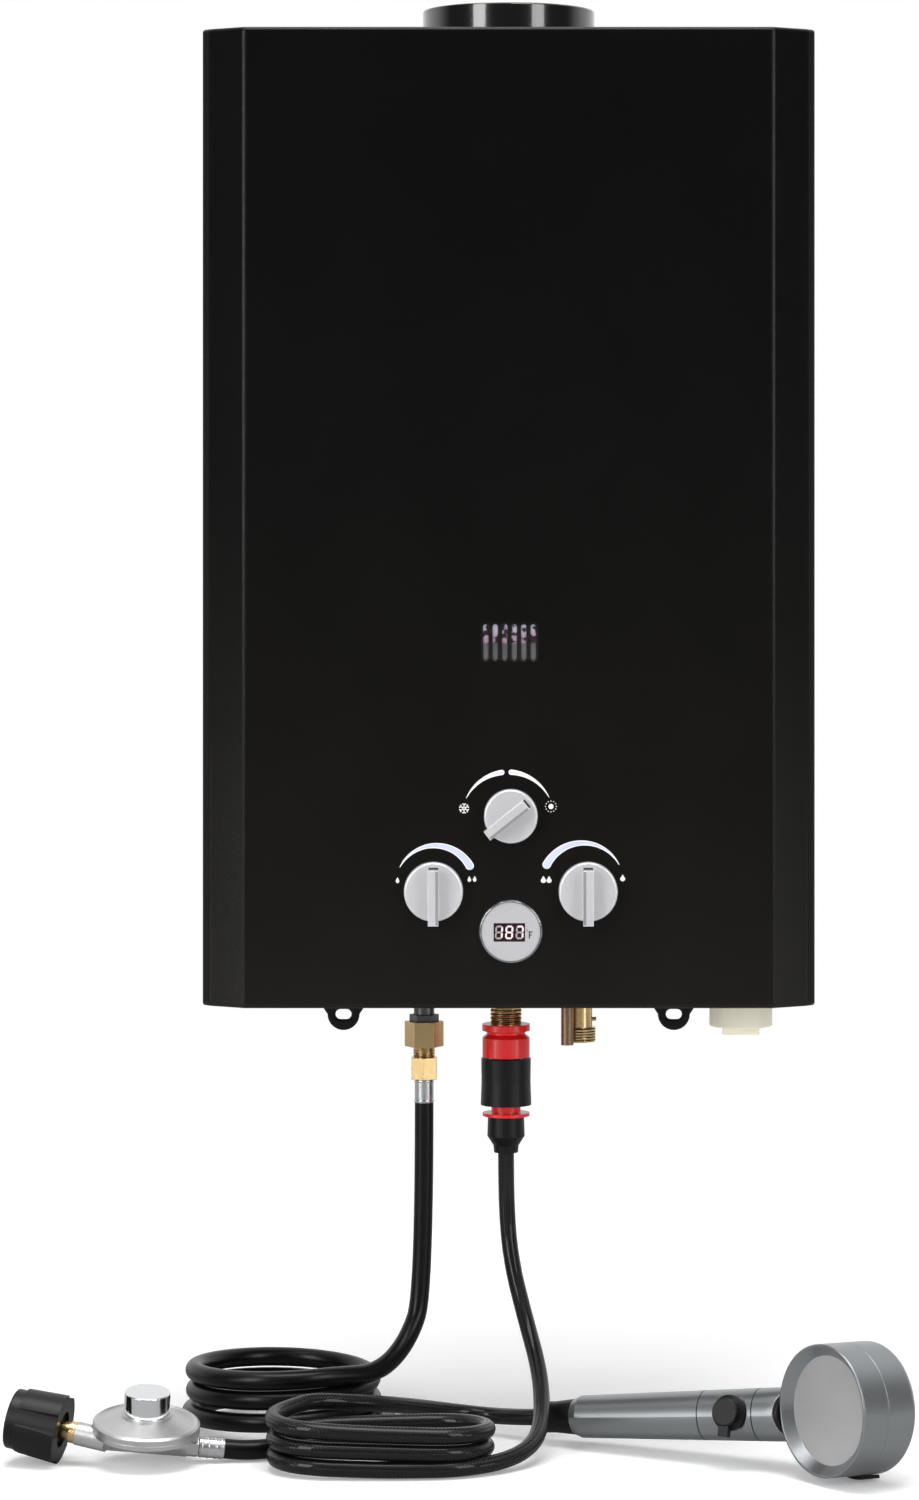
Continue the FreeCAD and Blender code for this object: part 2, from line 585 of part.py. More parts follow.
def make_draft_hood():
    """Box over the fins that gathers the exhaust under the collar."""
    tall = f"({HOOD_TOP} - chamber_top)"
    outer = box("hood_outside", (CHAMBER_LEFT, "-chamber_front", "chamber_top"),
                ("chamber_width", CHAMBER_DEPTH, tall))
    inner = box("hood_inside",
                (f"{CHAMBER_LEFT} + chamber_wall", "-chamber_front + chamber_wall",
                 "chamber_top - 1"),
                ("chamber_width - chamber_wall * 2", f"{CHAMBER_DEPTH} - chamber_wall * 2",
                 f"{tall} + 1 - chamber_wall"))
    hole = rod("hood_hole", "flue_radius - flue_neck_step - flue_neck_wall",
               ("0", "-flue_depth", f"{HOOD_TOP} - chamber_wall * 2"), "chamber_wall * 3")
    return without("draft_hood", outer, inner, hole)


def make_flue_collar():
    """Collar that rests on the cover, with a neck down into the hood."""
    top = f"({TOP} + flue_height)"
    neck = "(flue_radius - flue_neck_step)"
    mouth = f"({neck} - flue_neck_wall)"
    body = spun("flue_collar",
                [(mouth, HOOD_TOP), (neck, HOOD_TOP), (neck, TOP), ("flue_radius", TOP),
                 ("flue_radius", top), (f"{mouth} - flue_lip", top),
                 (f"{mouth} - flue_lip", f"{top} - flue_wall"),
                 (mouth, f"{top} - flue_wall")])
    rounded(body, "flue_lip_round", "flue_wall * 0.8", rim("flue_radius", top))
    return place(body, ("0", "-flue_depth", "0"))


def make_burner_bar(index, foot):
    """A folded sheet bar, open below."""
    middle = f"(manifold_width / burner_count * ({index} + 0.5) - manifold_width / 2)"
    long = f"({CHAMBER_DEPTH} - manifold_depth - 2)"
    outer = box(f"burner_bar_outside_{index}",
                (f"{middle} - burner_width / 2", "-chamber_front + manifold_depth", foot),
                ("burner_width", long, "burner_height"))
    inner = box(f"burner_bar_inside_{index}",
                (f"{middle} - burner_width / 2 + burner_sheet",
                 "-chamber_front + manifold_depth + burner_sheet", f"{foot} - 1"),
                ("burner_width - burner_sheet * 2", f"{long} - burner_sheet * 2",
                 "burner_height + 1 - burner_sheet"))
    return without(f"burner_bar_{index}", outer, inner)


def make_burner():
    """Burner bars side by side, carried by the manifold in front of them."""
    manifold_top = "(chamber_bottom - 0.3)"
    manifold = box("burner_manifold",
                   ("-manifold_width / 2", "-chamber_front",
                    f"{manifold_top} - manifold_height"),
                   ("manifold_width", "manifold_depth", "manifold_height"))
    bars = [make_burner_bar(index, f"({manifold_top} - manifold_height + 2)")
            for index in range(int(value("burner_count")))]
    rods = [rod(f"electrode_{side}", "electrode_radius",
                (f"electrode_spacing / 2 * {sign}", "-chamber_front - electrode_radius",
                 f"{manifold_top} - electrode_length * 0.7"), "electrode_length")
            for side, sign in SCREW_PLACES]
    grouped("burner_bars", *bars)
    grouped("spark_electrodes", *rods)
    return manifold


# ---- gas and water controls -----------------------------------------------------------------

VALVE_DEPTH = "(valve_front - valve_back)"
GAS_VALVE_TOP = f"({KNOB_ROW} + gas_valve_height / 2)"
WATER_VALVE_BOTTOM = f"({KNOB_ROW} - water_valve_height / 2)"


def spindle_socket(name, right, height):
    """The hole that a control spindle turns in, from the valve's front."""
    return rod(name, "spindle_radius + spindle_fit", (right, "-valve_front - 1", height),
               "spindle_sink + 1", "y")


def make_gas_valve():
    left = f"({GAS_KNOB_RIGHT} - gas_valve_width / 2)"
    block = box("gas_block", (left, "-valve_front", f"{GAS_VALVE_TOP} - gas_valve_height"),
                ("gas_valve_width", VALVE_DEPTH, "gas_valve_height"))
    cock = box("season_cock", (left, "-valve_front", GAS_VALVE_TOP),
               ("season_cock_width", "spindle_sink * 2", "season_cock_height + cock_rise"))
    riser_foot = f"({GAS_VALVE_TOP} + season_cock_height)"
    riser = rod("gas_riser", "riser_radius",
                (GAS_KNOB_RIGHT, "-valve_front + riser_radius", riser_foot),
                f"chamber_bottom - 0.3 - manifold_height - {riser_foot}")
    body = fused("gas_valve_solid", block, cock, riser)
    return without("gas_valve", body,
                   spindle_socket("gas_socket", GAS_KNOB_RIGHT, KNOB_ROW),
                   spindle_socket("season_socket", "control_shift", SEASON_HEIGHT))


def make_gas_solenoid():
    left = f"({GAS_KNOB_RIGHT} - gas_valve_width / 2)"
    return rod("gas_solenoid", "solenoid_radius",
               (f"{left} - solenoid_length", "-(valve_front + valve_back) / 2", KNOB_ROW),
               "solenoid_length", "x")


def make_water_valve():
    left = f"({WATER_KNOB_RIGHT} - water_valve_width / 2)"
    block = box("water_block", (left, "-valve_front", WATER_VALVE_BOTTOM),
                ("water_valve_width", VALVE_DEPTH, "water_valve_height"))
    drum_left = f"({GAS_KNOB_RIGHT} + gas_valve_width / 2 + valve_gap)"
    drum = rod("water_drum", "diaphragm_radius",
               (drum_left, "-(valve_front + valve_back) / 2", KNOB_ROW),
               f"{left} - {drum_left}", "x")
    body = fused("water_valve_solid", block, drum)
    return without("water_valve", body,
                   spindle_socket("water_socket", WATER_KNOB_RIGHT, KNOB_ROW))


def make_microswitch():
    left = f"({WATER_KNOB_RIGHT} - water_valve_width / 2)"
    return box("flow_microswitch",
               (f"{left} - switch_width", "-(valve_front + valve_back) / 2 - switch_depth / 2",
                f"{KNOB_ROW} + diaphragm_radius"),
               ("switch_width", "switch_depth", "switch_height"))


def make_igniter():
    return box("igniter_box",
               ("body_width / 2 - igniter_inset - igniter_width",
                "-plate_wall - igniter_depth",
                f"{BOTTOM} + igniter_rise - igniter_height"),
               ("igniter_width", "igniter_depth", "igniter_height"))


def make_knob(name, radius, right, height, turn):
    """Round skirt with a raised grip bar; built lying on the panel, then stood up."""
    skirt = spun(name + "_skirt", [("0", "knob_gap"), (radius, "knob_gap"),
                                   (radius, "knob_gap + knob_skirt"),
                                   ("0", "knob_gap + knob_skirt")])
    rounded(skirt, name + "_round", "knob_round", rim(radius, "knob_gap + knob_skirt"))
    grip = box(name + "_grip",
               ("-grip_width / 2", f"-{radius} - grip_overhang", "knob_gap + knob_skirt / 2"),
               ("grip_width", f"{radius} * 2 + grip_overhang - grip_setback",
                "grip_height + knob_skirt / 2"))
    socket = rod(name + "_socket", "spindle_radius", ("0", "0", "-1"), "knob_socket + 1")
    knob = without(name, fused(name + "_solid", skirt, grip), socket)
    upright = FreeCAD.Rotation(X_AXIS, 90).multiply(FreeCAD.Rotation(Z_AXIS, turn))
    knob.Placement = FreeCAD.Placement(Vector(), upright)
    place(knob, (right, FRONT, height))
    spindle = rod(name.replace("knob", "spindle"), "spindle_radius",
                  (right, f"{FRONT} - knob_socket", height),
                  "body_depth - valve_front + knob_socket + spindle_sink - 0.5", "y")
    return knob, spindle


def make_display():
    """Bright bezel over the panel, holding the thermometer's can behind it."""
    bezel = spun("display_bezel",
                 [("display_face_radius + display_fit", "0"), ("bezel_radius", "0"),
                  ("bezel_radius", "bezel_height * 0.5"),
                  ("bezel_radius - 0.8", "bezel_height"),
                  ("display_face_radius + display_fit", "bezel_height")])
    module = spun("display_module",
                  [("0", "-display_can_depth"), ("display_can_radius", "-display_can_depth"),
                   ("display_can_radius", "0"), ("display_face_radius", "0"),
                   ("display_face_radius", "bezel_height - 0.6"),
                   ("0", "bezel_height - 0.6")])
    for item in (bezel, module):
        place(item, ("control_shift", FRONT, DISPLAY_HEIGHT), (X_AXIS, 90))


# ---- battery box ----------------------------------------------------------------------------

CASE_INSIDE = "(cell_radius + cell_fit)"
CASE_OUTSIDE = "(cell_radius + cell_fit + battery_wall)"
CAP_TOP = f"({BOTTOM} - 2.4)"


def make_battery_box():
    top = f"({BOTTOM} + cell_length * 2 + 4)"
    case = spun("battery_tube",
                [(CASE_INSIDE, CAP_TOP), ("battery_flange_radius", CAP_TOP),
                 ("battery_flange_radius", f"{BOTTOM} - 0.3"),
                 (CASE_OUTSIDE, f"{BOTTOM} - 0.3"), (CASE_OUTSIDE, top), ("0", top),
                 ("0", f"{top} - battery_wall"), (CASE_INSIDE, f"{top} - battery_wall")])
    place(case, (BATTERY_RIGHT, "-battery_depth", "0"))
    arm = box("battery_arm",
              (f"{BATTERY_RIGHT} - arm_width / 2", f"-battery_depth + {CASE_INSIDE} + 0.4",
               f"{top} - arm_drop"),
              ("arm_width", f"battery_depth - {CASE_INSIDE} - 0.4 - plate_wall",
               "arm_height"))
    fused("battery_case", case, arm)
    cells = []
    for name, foot in (("lower", f"({BOTTOM} - 1.4)"),
                       ("upper", f"({BOTTOM} - 1.4 + cell_length)")):
        end = f"({foot} + cell_length)"
        shoulder = f"({end} - cell_tip_height)"
        cell = spun(f"cell_{name}",
                    [("0", foot), ("cell_radius", foot), ("cell_radius", shoulder),
                     ("cell_tip_radius", shoulder), ("cell_tip_radius", end), ("0", end)])
        cells.append(place(cell, (BATTERY_RIGHT, "-battery_depth", "0")))
    grouped("battery_cells", *cells)


def make_battery_cap():
    foot = f"({CAP_TOP} - cap_gap - cap_height)"
    disc = spun("cap_disc", [("0", foot), ("cap_radius", foot),
                             ("cap_radius", f"{foot} + cap_height"),
                             ("0", f"{foot} + cap_height")])
    rounded(disc, "cap_round", "1", rim("cap_radius", foot))
    grip = box("cap_grip",
               ("-cap_grip_width / 2", "-cap_grip_wall / 2", f"{foot} - cap_grip_height"),
               ("cap_grip_width", "cap_grip_wall", "cap_grip_height + cap_height / 2"))
    return place(fused("battery_cap", disc, grip),
                 (BATTERY_RIGHT, "-battery_depth", "0"))


# ---- gas inlet ------------------------------------------------------------------------------

GAS_AT = ("gas_right", "-fitting_depth")
GAS_TUBE_BOTTOM = f"({BOTTOM} - gas_tube_drop)"
GAS_HEX_BOTTOM = f"({GAS_TUBE_BOTTOM} - gas_hex_height)"
GAS_NUT_BOTTOM = f"({GAS_HEX_BOTTOM} - gas_nut_height)"
ADAPTER_BOTTOM = f"({GAS_NUT_BOTTOM} - adapter_neck)"
HOSE_NUT_BOTTOM = f"({ADAPTER_BOTTOM} - hose_nut_height)"
GAS_HOSE_TOP = f"({HOSE_NUT_BOTTOM} - 0.4 - ferrule_length)"


def make_gas_inlet():
    tube_top = f"({GAS_VALVE_TOP} - gas_valve_height)"
    stem = rod("gas_stem", "gas_tube_radius", (*GAS_AT, GAS_TUBE_BOTTOM),
               f"{tube_top} - {GAS_TUBE_BOTTOM}")
    seat = hexagon("gas_seat", "gas_hex_flats", (*GAS_AT, GAS_HEX_BOTTOM), "gas_hex_height")
    fused("gas_inlet_tube", stem, seat)
    nut = hexagon("gas_nut_hex", "gas_nut_flats", (*GAS_AT, GAS_NUT_BOTTOM),
                  "gas_nut_height")
    bore = rod("gas_nut_bore", "adapter_radius + adapter_fit",
               (*GAS_AT, f"{GAS_NUT_BOTTOM} - 1"), "gas_nut_height + 2")
    without("gas_inlet_nut", nut, bore)
    rod("gas_adapter", "adapter_radius", (*GAS_AT, f"{ADAPTER_BOTTOM} - adapter_grip"),
        "gas_nut_height + adapter_neck + adapter_grip")
    hose_nut = hexagon("hose_nut_hex", "hose_nut_flats", (*GAS_AT, HOSE_NUT_BOTTOM),
                       "hose_nut_height", 30)
    hose_bore = rod("hose_nut_bore", "adapter_radius + adapter_fit",
                    (*GAS_AT, f"{ADAPTER_BOTTOM} - adapter_grip"), "adapter_grip + 1")
    without("gas_hose_nut", hose_nut, hose_bore)


# ---- water outlet, inlet and the hose coupling ----------------------------------------------

OUTLET_AT = ("outlet_right", "-fitting_depth")
OUTLET_BOTTOM = f"({BOTTOM} - outlet_thread_drop)"
CLAMP_BOTTOM = f"({BOTTOM} - clamp_bottom_drop)"


def make_hot_outlet():
    foot = f"({BOTTOM} + outlet_block_lift)"
    block = box("outlet_block",
                ("outlet_right - outlet_block_width / 2",
                 "-fitting_depth - outlet_block_depth / 3", foot),
                ("outlet_block_width", "outlet_block_depth",
                 "outlet_block_rise - outlet_block_lift"))
    stub = rod("outlet_stub", "outlet_thread_radius", (*OUTLET_AT, OUTLET_BOTTOM),
               f"{foot} - {OUTLET_BOTTOM}")
    bore = rod("outlet_bore", "tap_bore_radius", (*OUTLET_AT, f"{OUTLET_BOTTOM} - 1"),
               "outlet_bore_length")
    return without("hot_outlet_fitting", fused("outlet_solid", block, stub), bore)


def below(drop):
    """A height given as a drop from the casing's bottom."""
    return f"({BOTTOM} - {drop})"


def make_coupling():
    """Tap adapter, sliding collar, hose core and clamp nut on one vertical line."""
    thread = "(outlet_thread_radius + thread_fit)"
    tap_top, body_top = below("tap_drop"), below("tap_body_drop")
    body_bottom, spigot_bottom = below("tap_bottom_drop"), below("spigot_drop")
    adapter = spun("tap_adapter",
                   [(thread, tap_top), ("tap_flange_radius", tap_top),
                    ("tap_flange_radius", f"{tap_top} - tap_flange_height"),
                    ("tap_waist_radius", f"{tap_top} - tap_flange_height - 0.8"),
                    ("tap_waist_radius", body_top),
                    ("tap_body_radius", f"{body_top} - 2.4"),
                    ("tap_body_radius", body_bottom),
                    ("spigot_radius", body_bottom),
                    ("spigot_radius", spigot_bottom), ("tap_bore_radius", spigot_bottom),
                    ("tap_bore_radius", OUTLET_BOTTOM),
                    (thread, OUTLET_BOTTOM)])
    collar_top = below("collar_drop")
    collar_bottom = f"({collar_top} - collar_height)"
    middle = f"({collar_top} - collar_height / 2)"
    collar = spun("quick_collar",
                  [("collar_bore_radius", collar_top), ("collar_radius - 0.3", collar_top),
                   ("collar_radius - collar_waist", middle),
                   ("collar_radius", collar_bottom),
                   ("collar_bore_radius", collar_bottom)])
    core_top = f"({collar_top} - 0.6)"
    flange_top, stub_bottom = below("core_flange_drop"), below("core_stub_drop")
    flange_bottom = f"({flange_top} - core_flange_height)"
    core = spun("hose_coupling_core",
                [("spigot_radius + thread_fit", core_top),
                 ("collar_bore_radius - collar_fit", core_top),
                 ("collar_bore_radius - collar_fit", f"{collar_bottom} + 1"),
                 ("core_neck_radius", f"{collar_bottom} + 1"),
                 ("core_neck_radius", flange_top),
                 ("core_flange_radius", flange_top),
                 ("core_flange_radius", flange_bottom),
                 ("spigot_radius", flange_bottom),
                 ("spigot_radius", stub_bottom),
                 ("tap_bore_radius", stub_bottom),
                 ("tap_bore_radius", f"{spigot_bottom} - 0.3"),
                 ("spigot_radius + thread_fit", f"{spigot_bottom} - 0.3")])
    clamp_top = below("clamp_drop")
    clamp = spun("hose_clamp_nut",
                 [("spigot_radius + thread_fit", clamp_top),
                  ("clamp_radius - 0.4", clamp_top),
                  ("clamp_radius", below("clamp_shoulder_drop")),
                  ("clamp_tail_radius + 0.4", below("clamp_taper_drop")),
                  ("clamp_tail_radius", CLAMP_BOTTOM), ("0", CLAMP_BOTTOM),
                  ("0", f"{stub_bottom} - 0.3"),
                  ("spigot_radius + thread_fit", f"{stub_bottom} - 0.3")])
    for item in (adapter, collar, core, clamp):
        place(item, (*OUTLET_AT, "0"))


def make_cold_inlet():
    at = ("inlet_right", "-fitting_depth")
    thread_top = below("inlet_thread_drop")
    foot = f"({thread_top} - inlet_thread_length)"
    neck = rod("inlet_neck", "inlet_neck_radius", (*at, thread_top),
               f"{WATER_VALVE_BOTTOM} - {thread_top}")
    thread = rod("inlet_thread", "inlet_thread_radius", (*at, foot), "inlet_thread_length")
    stud = rod("inlet_stud", "inlet_stud_radius", (*at, below("inlet_stud_drop")),
               "inlet_stud_reach", "x")
    bore = rod("inlet_bore", "inlet_bore_radius", (*at, f"{foot} - 1"),
               "inlet_thread_length + inlet_bore_reach")
    without("cold_inlet_fitting", fused("inlet_solid", neck, thread, stud), bore)
    relief_bottom = below("relief_drop")
    return rod("relief_tube", "relief_radius",
               ("relief_right", "-relief_depth", relief_bottom),
               f"{WATER_VALVE_BOTTOM} - {relief_bottom}")


def make_water_pipes():
    """Cold feed up the right side and hot return down the left, clear of the chamber."""
    bend = value("pipe_bend")
    radius = value("pipe_radius")
    end = "(chamber_width / 2 + pipe_end_gap)"
    side = "(chamber_width / 2 + pipe_side_gap)"
    cold_run = "(chamber_bottom - cold_run_drop)"
    hot_run = f"({BOTTOM} + hot_run_rise)"
    valve_top = f"({WATER_VALVE_BOTTOM} + water_valve_height)"
    cold_depth, hot_depth = tube_depth(0), tube_depth(2)
    cold = path_points([
        (WATER_KNOB_RIGHT, cold_depth, valve_top), (WATER_KNOB_RIGHT, cold_depth, cold_run),
        (side, cold_depth, cold_run), (side, cold_depth, "coil_tube_height"),
        (end, cold_depth, "coil_tube_height")])
    hot = path_points([
        (f"-{end}", hot_depth, "coil_tube_height"),
        (f"-{side}", hot_depth, "coil_tube_height"), (f"-{side}", hot_depth, hot_run),
        ("outlet_right - outlet_block_width / 2", hot_depth, hot_run)])
    grouped("water_pipes", tube("cold_pipe", cold, radius, bend)[0],
            tube("hot_pipe", hot, radius, bend)[0])


# ---- hoses ----------------------------------------------------------------------------------

def make_coil(name, right, depth, half_width, half_depth, height, radius):
    """The outer shape of a coil's stacked turns: a ring with round ends and an open middle."""
    parts = []
    for tag, grow in (("outside", f"+ {radius}"), ("inside", f"- {radius}")):
        span = f"({half_width} - {half_depth})"
        end_radius = f"({half_depth} {grow})"
        foot = GROUND if tag == "outside" else f"({GROUND} - 1)"
        tall = height if tag == "outside" else f"{height} + 2"
        middle = box(f"{name}_{tag}_middle",
                     (f"{right} - {span}", f"-{depth} - {end_radius}", foot),
                     (f"{span} * 2", f"{end_radius} * 2", tall))
        ends = [rod(f"{name}_{tag}_{side}", end_radius,
                    (f"{right} + {span} * {sign}", f"-{depth}", foot), tall)
                for side, sign in SCREW_PLACES]
        parts.append(fused(f"{name}_{tag}", middle, *ends))
    return without(name, *parts)


# Route points of each uncoiled stretch, chosen one by one, in millimetres. Heights are from
# the casing's bottom edge.
GAS_DROP_ROUTE = [(-53.8, -65, -190), (-63.6, -77.9, -218.6), (-81.6, -99.7, -235),
                  (-108.6, -118.7, -233)]
GAS_TAIL_ROUTE = [(-164.4, -172.6, -267.8), (-149.1, -169.3, -267.8),
                  (-132.1, -158.7, -267.8), (-116.5, -143.1, -267.8),
                  (-103.1, -123.2, -267.8), (-93.3, -101.3, -267.8)]
WATER_DROP_ROUTE = [(-1.7, -65, -135), (1.6, -70.4, -170), (10.6, -87.5, -203),
                    (19.3, -113, -230), (21, -146, -250), (17, -178, -262),
                    (0, -203, -267.6), (-29, -221, -268.7), (-58, -224, -268.7)]
SHOWER_LEAD_ROUTE = [(-122, -158, -240.3), (-98, -149.5, -243), (-74.5, -134.5, -247.3),
                     (-55.2, -113.5, -253.4), (-34.8, -97.3, -259.3), (-12.2, -91.3, -263.4)]


def hung(route):
    """Route points in the part's frame, their heights taken from the casing's bottom."""
    return [Vector(x, y, value(BOTTOM) + z) for x, y, z in route]


def hose_report(name, length, radii, radius):
    shown = ", ".join(f"{r:.0f}" for r in radii)
    print(f"{name}: {length:.0f} mm long, diameter {radius * 2:.1f}, arc radii {shown}")


def make_hoses(regulator, shower):
    coil_sizes = (("gas_hose_coil", "gas_coil", "gas_hose_radius"),
                  ("water_hose_coil", "water_coil", "water_hose_radius"))
    for name, stem, radius in coil_sizes:
        make_coil(name, f"{stem}_right", f"{stem}_depth", f"{stem}_half_width",
                  f"{stem}_half_depth", f"{stem}_height", radius)
    gas_top = path_points([(*GAS_AT, GAS_HOSE_TOP)])
    water_top = path_points([(*OUTLET_AT, CLAMP_BOTTOM)])
    regulator_end = [regulator.multVec(Vector(0, 0, 0))]
    lead_end = -value("connector_length")
    shower_end = [shower.multVec(Vector(0, 0, lead_end - value("lead_straight"))),
                  shower.multVec(Vector(0, 0, lead_end))]
    routes = {
        "gas_hose_drop": (gas_top + hung(GAS_DROP_ROUTE), "gas_hose_radius"),
        "gas_hose_tail": (regulator_end + hung(GAS_TAIL_ROUTE), "gas_hose_radius"),
        "water_hose_drop": (water_top + hung(WATER_DROP_ROUTE), "water_hose_radius"),
        "water_hose_lead": (hung(SHOWER_LEAD_ROUTE) + shower_end, "water_hose_radius"),
    }
    for name, (points, radius) in routes.items():
        item, length, radii = tube(name, points, value(radius))
        hose_report(name, length, radii, value(radius))


# ---- regulator ------------------------------------------------------------------------------

def regulator_frame():
    """Local +X runs from the hose's end through the body, +Z is up."""
    heading = FreeCAD.Rotation(Z_AXIS, 180 + value("regulator_heading"))
    rise = FreeCAD.Rotation(Y_AXIS, -value("regulator_rise"))
    roll = FreeCAD.Rotation(X_AXIS, -value("regulator_roll"))
    origin = Vector(value("regulator_right"), -value("regulator_depth"),
                    value(f"{GROUND} + regulator_lift"))
    return FreeCAD.Placement(origin, heading.multiply(rise).multiply(roll))


def along_z(placement, height):
    """The placement moved along its own Z by an expression."""
    return placement.multiply(FreeCAD.Placement(Vector(0, 0, value(height)),
                                                FreeCAD.Rotation()))


def make_regulator(frame):
    """Builds the regulator and gives the place of its inlet, whose +Z runs to the cylinder."""
    disc = FreeCAD.Placement(Vector(value("disc_middle"), 0, 0),
                             FreeCAD.Rotation(Y_AXIS, value("disc_dip")))
    turn = FreeCAD.Rotation(Z_AXIS, -value("inlet_turn"))
    pitch = FreeCAD.Rotation(Y_AXIS, 90 - value("inlet_pitch"))
    inlet = FreeCAD.Placement(Vector(value("inlet_bend"), 0, 0), turn.multiply(pitch))
    make_port_ferrules(frame)
    body = make_regulator_body(disc, inlet)
    body.Placement = frame
    for item in make_bonnet():
        item.Placement = frame.multiply(disc)
    for item in (make_nipple(), make_cylinder_nut()):
        item.Placement = frame.multiply(inlet)
    return frame.multiply(inlet)


def make_port_ferrules(frame):
    port_ferrule = rod("port_ferrule", "port_ferrule_radius", ("0", "0", "0"),
                       "port_ferrule_length", "x")
    gas_ferrule = rod("inlet_ferrule", "ferrule_radius", (*GAS_AT, GAS_HOSE_TOP),
                      "ferrule_length + 0.4")
    ferrule_moved = grouped("port_ferrule_placed", port_ferrule)
    ferrule_moved.Placement = frame
    grouped("gas_hose_ferrules", gas_ferrule, ferrule_moved)


def make_regulator_body(disc, inlet):
    """Lower casting: a shallow bowl on a bar between the hose port and the inlet socket."""
    neck = rod("regulator_port_neck", "port_neck_radius", ("port_ferrule_length", "0", "0"),
               "port_hex_end - port_ferrule_length", "x")
    port_hex = hexagon("regulator_port_hex", "port_hex_flats", ("0", "0", "0"),
                       "port_hex_end - port_hex_start")
    place(port_hex, ("port_hex_start", "0", "0"), (Y_AXIS, 90))
    bar = rod("regulator_bar", "port_radius", ("port_hex_end", "0", "0"),
              "inlet_bend + 2 - port_hex_end", "x")
    casting = spun("regulator_casting",
                   [("0", "casting_bottom"), ("casting_flat", "casting_bottom"),
                    ("casting_radius", "casting_bottom + casting_rise"),
                    ("disc_radius", "disc_bottom"), ("disc_radius", "disc_joint"),
                    ("0", "disc_joint")])
    casting.Placement = disc
    socket = round_tool("regulator_socket", "socket_radius", "socket_end - socket_start",
                        along_z(inlet, "socket_start"))
    nipple_hole = round_tool("nipple_hole", "nipple_radius", "nipple_sink + 1",
                             along_z(inlet, "socket_end - nipple_sink"))
    bonnet_room = round_tool("bonnet_room", "disc_radius + bonnet_gap", "spring_cap_top",
                             along_z(disc, "disc_joint"))
    solid = fused("regulator_solid", neck, port_hex, bar, casting, socket)
    return without("regulator_body", solid, nipple_hole, bonnet_room)


def make_bonnet():
    bonnet = spun("regulator_bonnet",
                  [("spring_cap_radius", "disc_joint + 4"),
                   ("disc_radius - bonnet_wall", "disc_joint + 1"),
                   ("disc_radius - bonnet_wall", "disc_joint"),
                   ("disc_radius", "disc_joint"), ("disc_radius", "disc_top"),
                   ("lip_radius", "lip_top"), ("groove_radius", "groove_bottom"),
                   ("dome_radius", "dome_top"), ("bead_radius", "dome_top"),
                   ("bead_radius", "bead_top"), ("spring_cap_radius", "bead_top")])
    cap_foot = "(disc_joint + spring_cap_sink)"
    cap_inside = "(spring_cap_radius - spring_cap_wall)"
    cap = spun("regulator_cap",
               [(cap_inside, cap_foot), ("spring_cap_radius", cap_foot),
                ("spring_cap_radius", "spring_cap_top"), ("0", "spring_cap_top"),
                ("0", "spring_cap_top - spring_cap_wall"),
                (cap_inside, "spring_cap_top - spring_cap_wall")])
    rounded(cap, "regulator_cap_round", "spring_cap_wall * 0.6",
            rim("spring_cap_radius", "spring_cap_top"))
    spring = spun("regulator_spring",
                  [("spring_radius - spring_wire", "disc_joint"),
                   ("spring_radius", "disc_joint"),
                   ("spring_radius", "spring_cap_top - spring_cap_wall"),
                   ("spring_radius - spring_wire", "spring_cap_top - spring_cap_wall")])
    return bonnet, cap, spring


HEAD_START = "(nut_start + nut_dish_depth + nut_back_wall)"


def make_nipple():
    foot = "(socket_end - nipple_sink)"
    return spun("regulator_inlet",
                [("0", foot), ("nipple_radius", foot), ("nipple_radius", "socket_end"),
                 ("shoulder_radius", "socket_end"), ("shoulder_radius", "shoulder_end"),
                 ("nipple_radius", "shoulder_end"), ("nipple_radius", HEAD_START),
                 ("nipple_head_radius", HEAD_START),
                 ("nipple_head_radius", f"{HEAD_START} + nipple_head_length"),
                 ("0", f"{HEAD_START} + nipple_head_length")])


def make_cylinder_nut():
    """Hand nut with four broad grip bars, turning on the nipple behind its head."""
    grip_end, end = "(nut_start + nut_grip_length)", "(nut_start + nut_length)"
    core = spun("nut_core",
                [("0", "nut_start"), ("nut_core_radius", "nut_start"),
                 ("nut_core_radius", grip_end), ("nut_lip_radius", grip_end),
                 ("nut_lip_radius", end), ("0", end)])
    rounded(core, "nut_lip_rounding", "nut_lip_round", rim("nut_lip_radius", end))
    cone = spun("nut_grip_cone",
                [("0", "nut_start"), ("nut_grip_radius", "nut_start"),
                 ("nut_grip_radius - nut_grip_taper", grip_end), ("0", grip_end)])
    bars = fused("nut_bars",
                 box("nut_bar_a", ("-nut_grip_radius", "-nut_bar_width / 2", "nut_start"),
                     ("nut_grip_radius * 2", "nut_bar_width", "nut_grip_length")),
                 box("nut_bar_b", ("-nut_bar_width / 2", "-nut_grip_radius", "nut_start"),
                     ("nut_bar_width", "nut_grip_radius * 2", "nut_grip_length")))
    bars.Placement = FreeCAD.Placement(Vector(),
                                       FreeCAD.Rotation(Z_AXIS, value("nut_bar_turn")))
    grip = doc.addObject("Part::Common", "nut_grip")
    grip.Base, grip.Tool = cone, bars
    recess_length = "(nipple_head_length + nut_recess_gap)"
    recess = rod("nut_recess", "nipple_head_radius + nut_recess_gap", ("0", "0", HEAD_START),
                 recess_length)
    mouth = rod("nut_mouth", "nut_bore_radius", ("0", "0", f"{HEAD_START} + {recess_length}"),
                "nut_length")
    hole = rod("nut_hole", "nipple_radius + nut_fit", ("0", "0", "0"), HEAD_START + " + 1")
    dish = rod("nut_dish", "nut_dish_radius", ("0", "0", "nut_start - 1"),
               "nut_dish_depth + 1")
    return without("cylinder_nut", fused("nut_solid", core, grip), recess, mouth, hole, dish)


# ---- hand shower ----------------------------------------------------------------------------

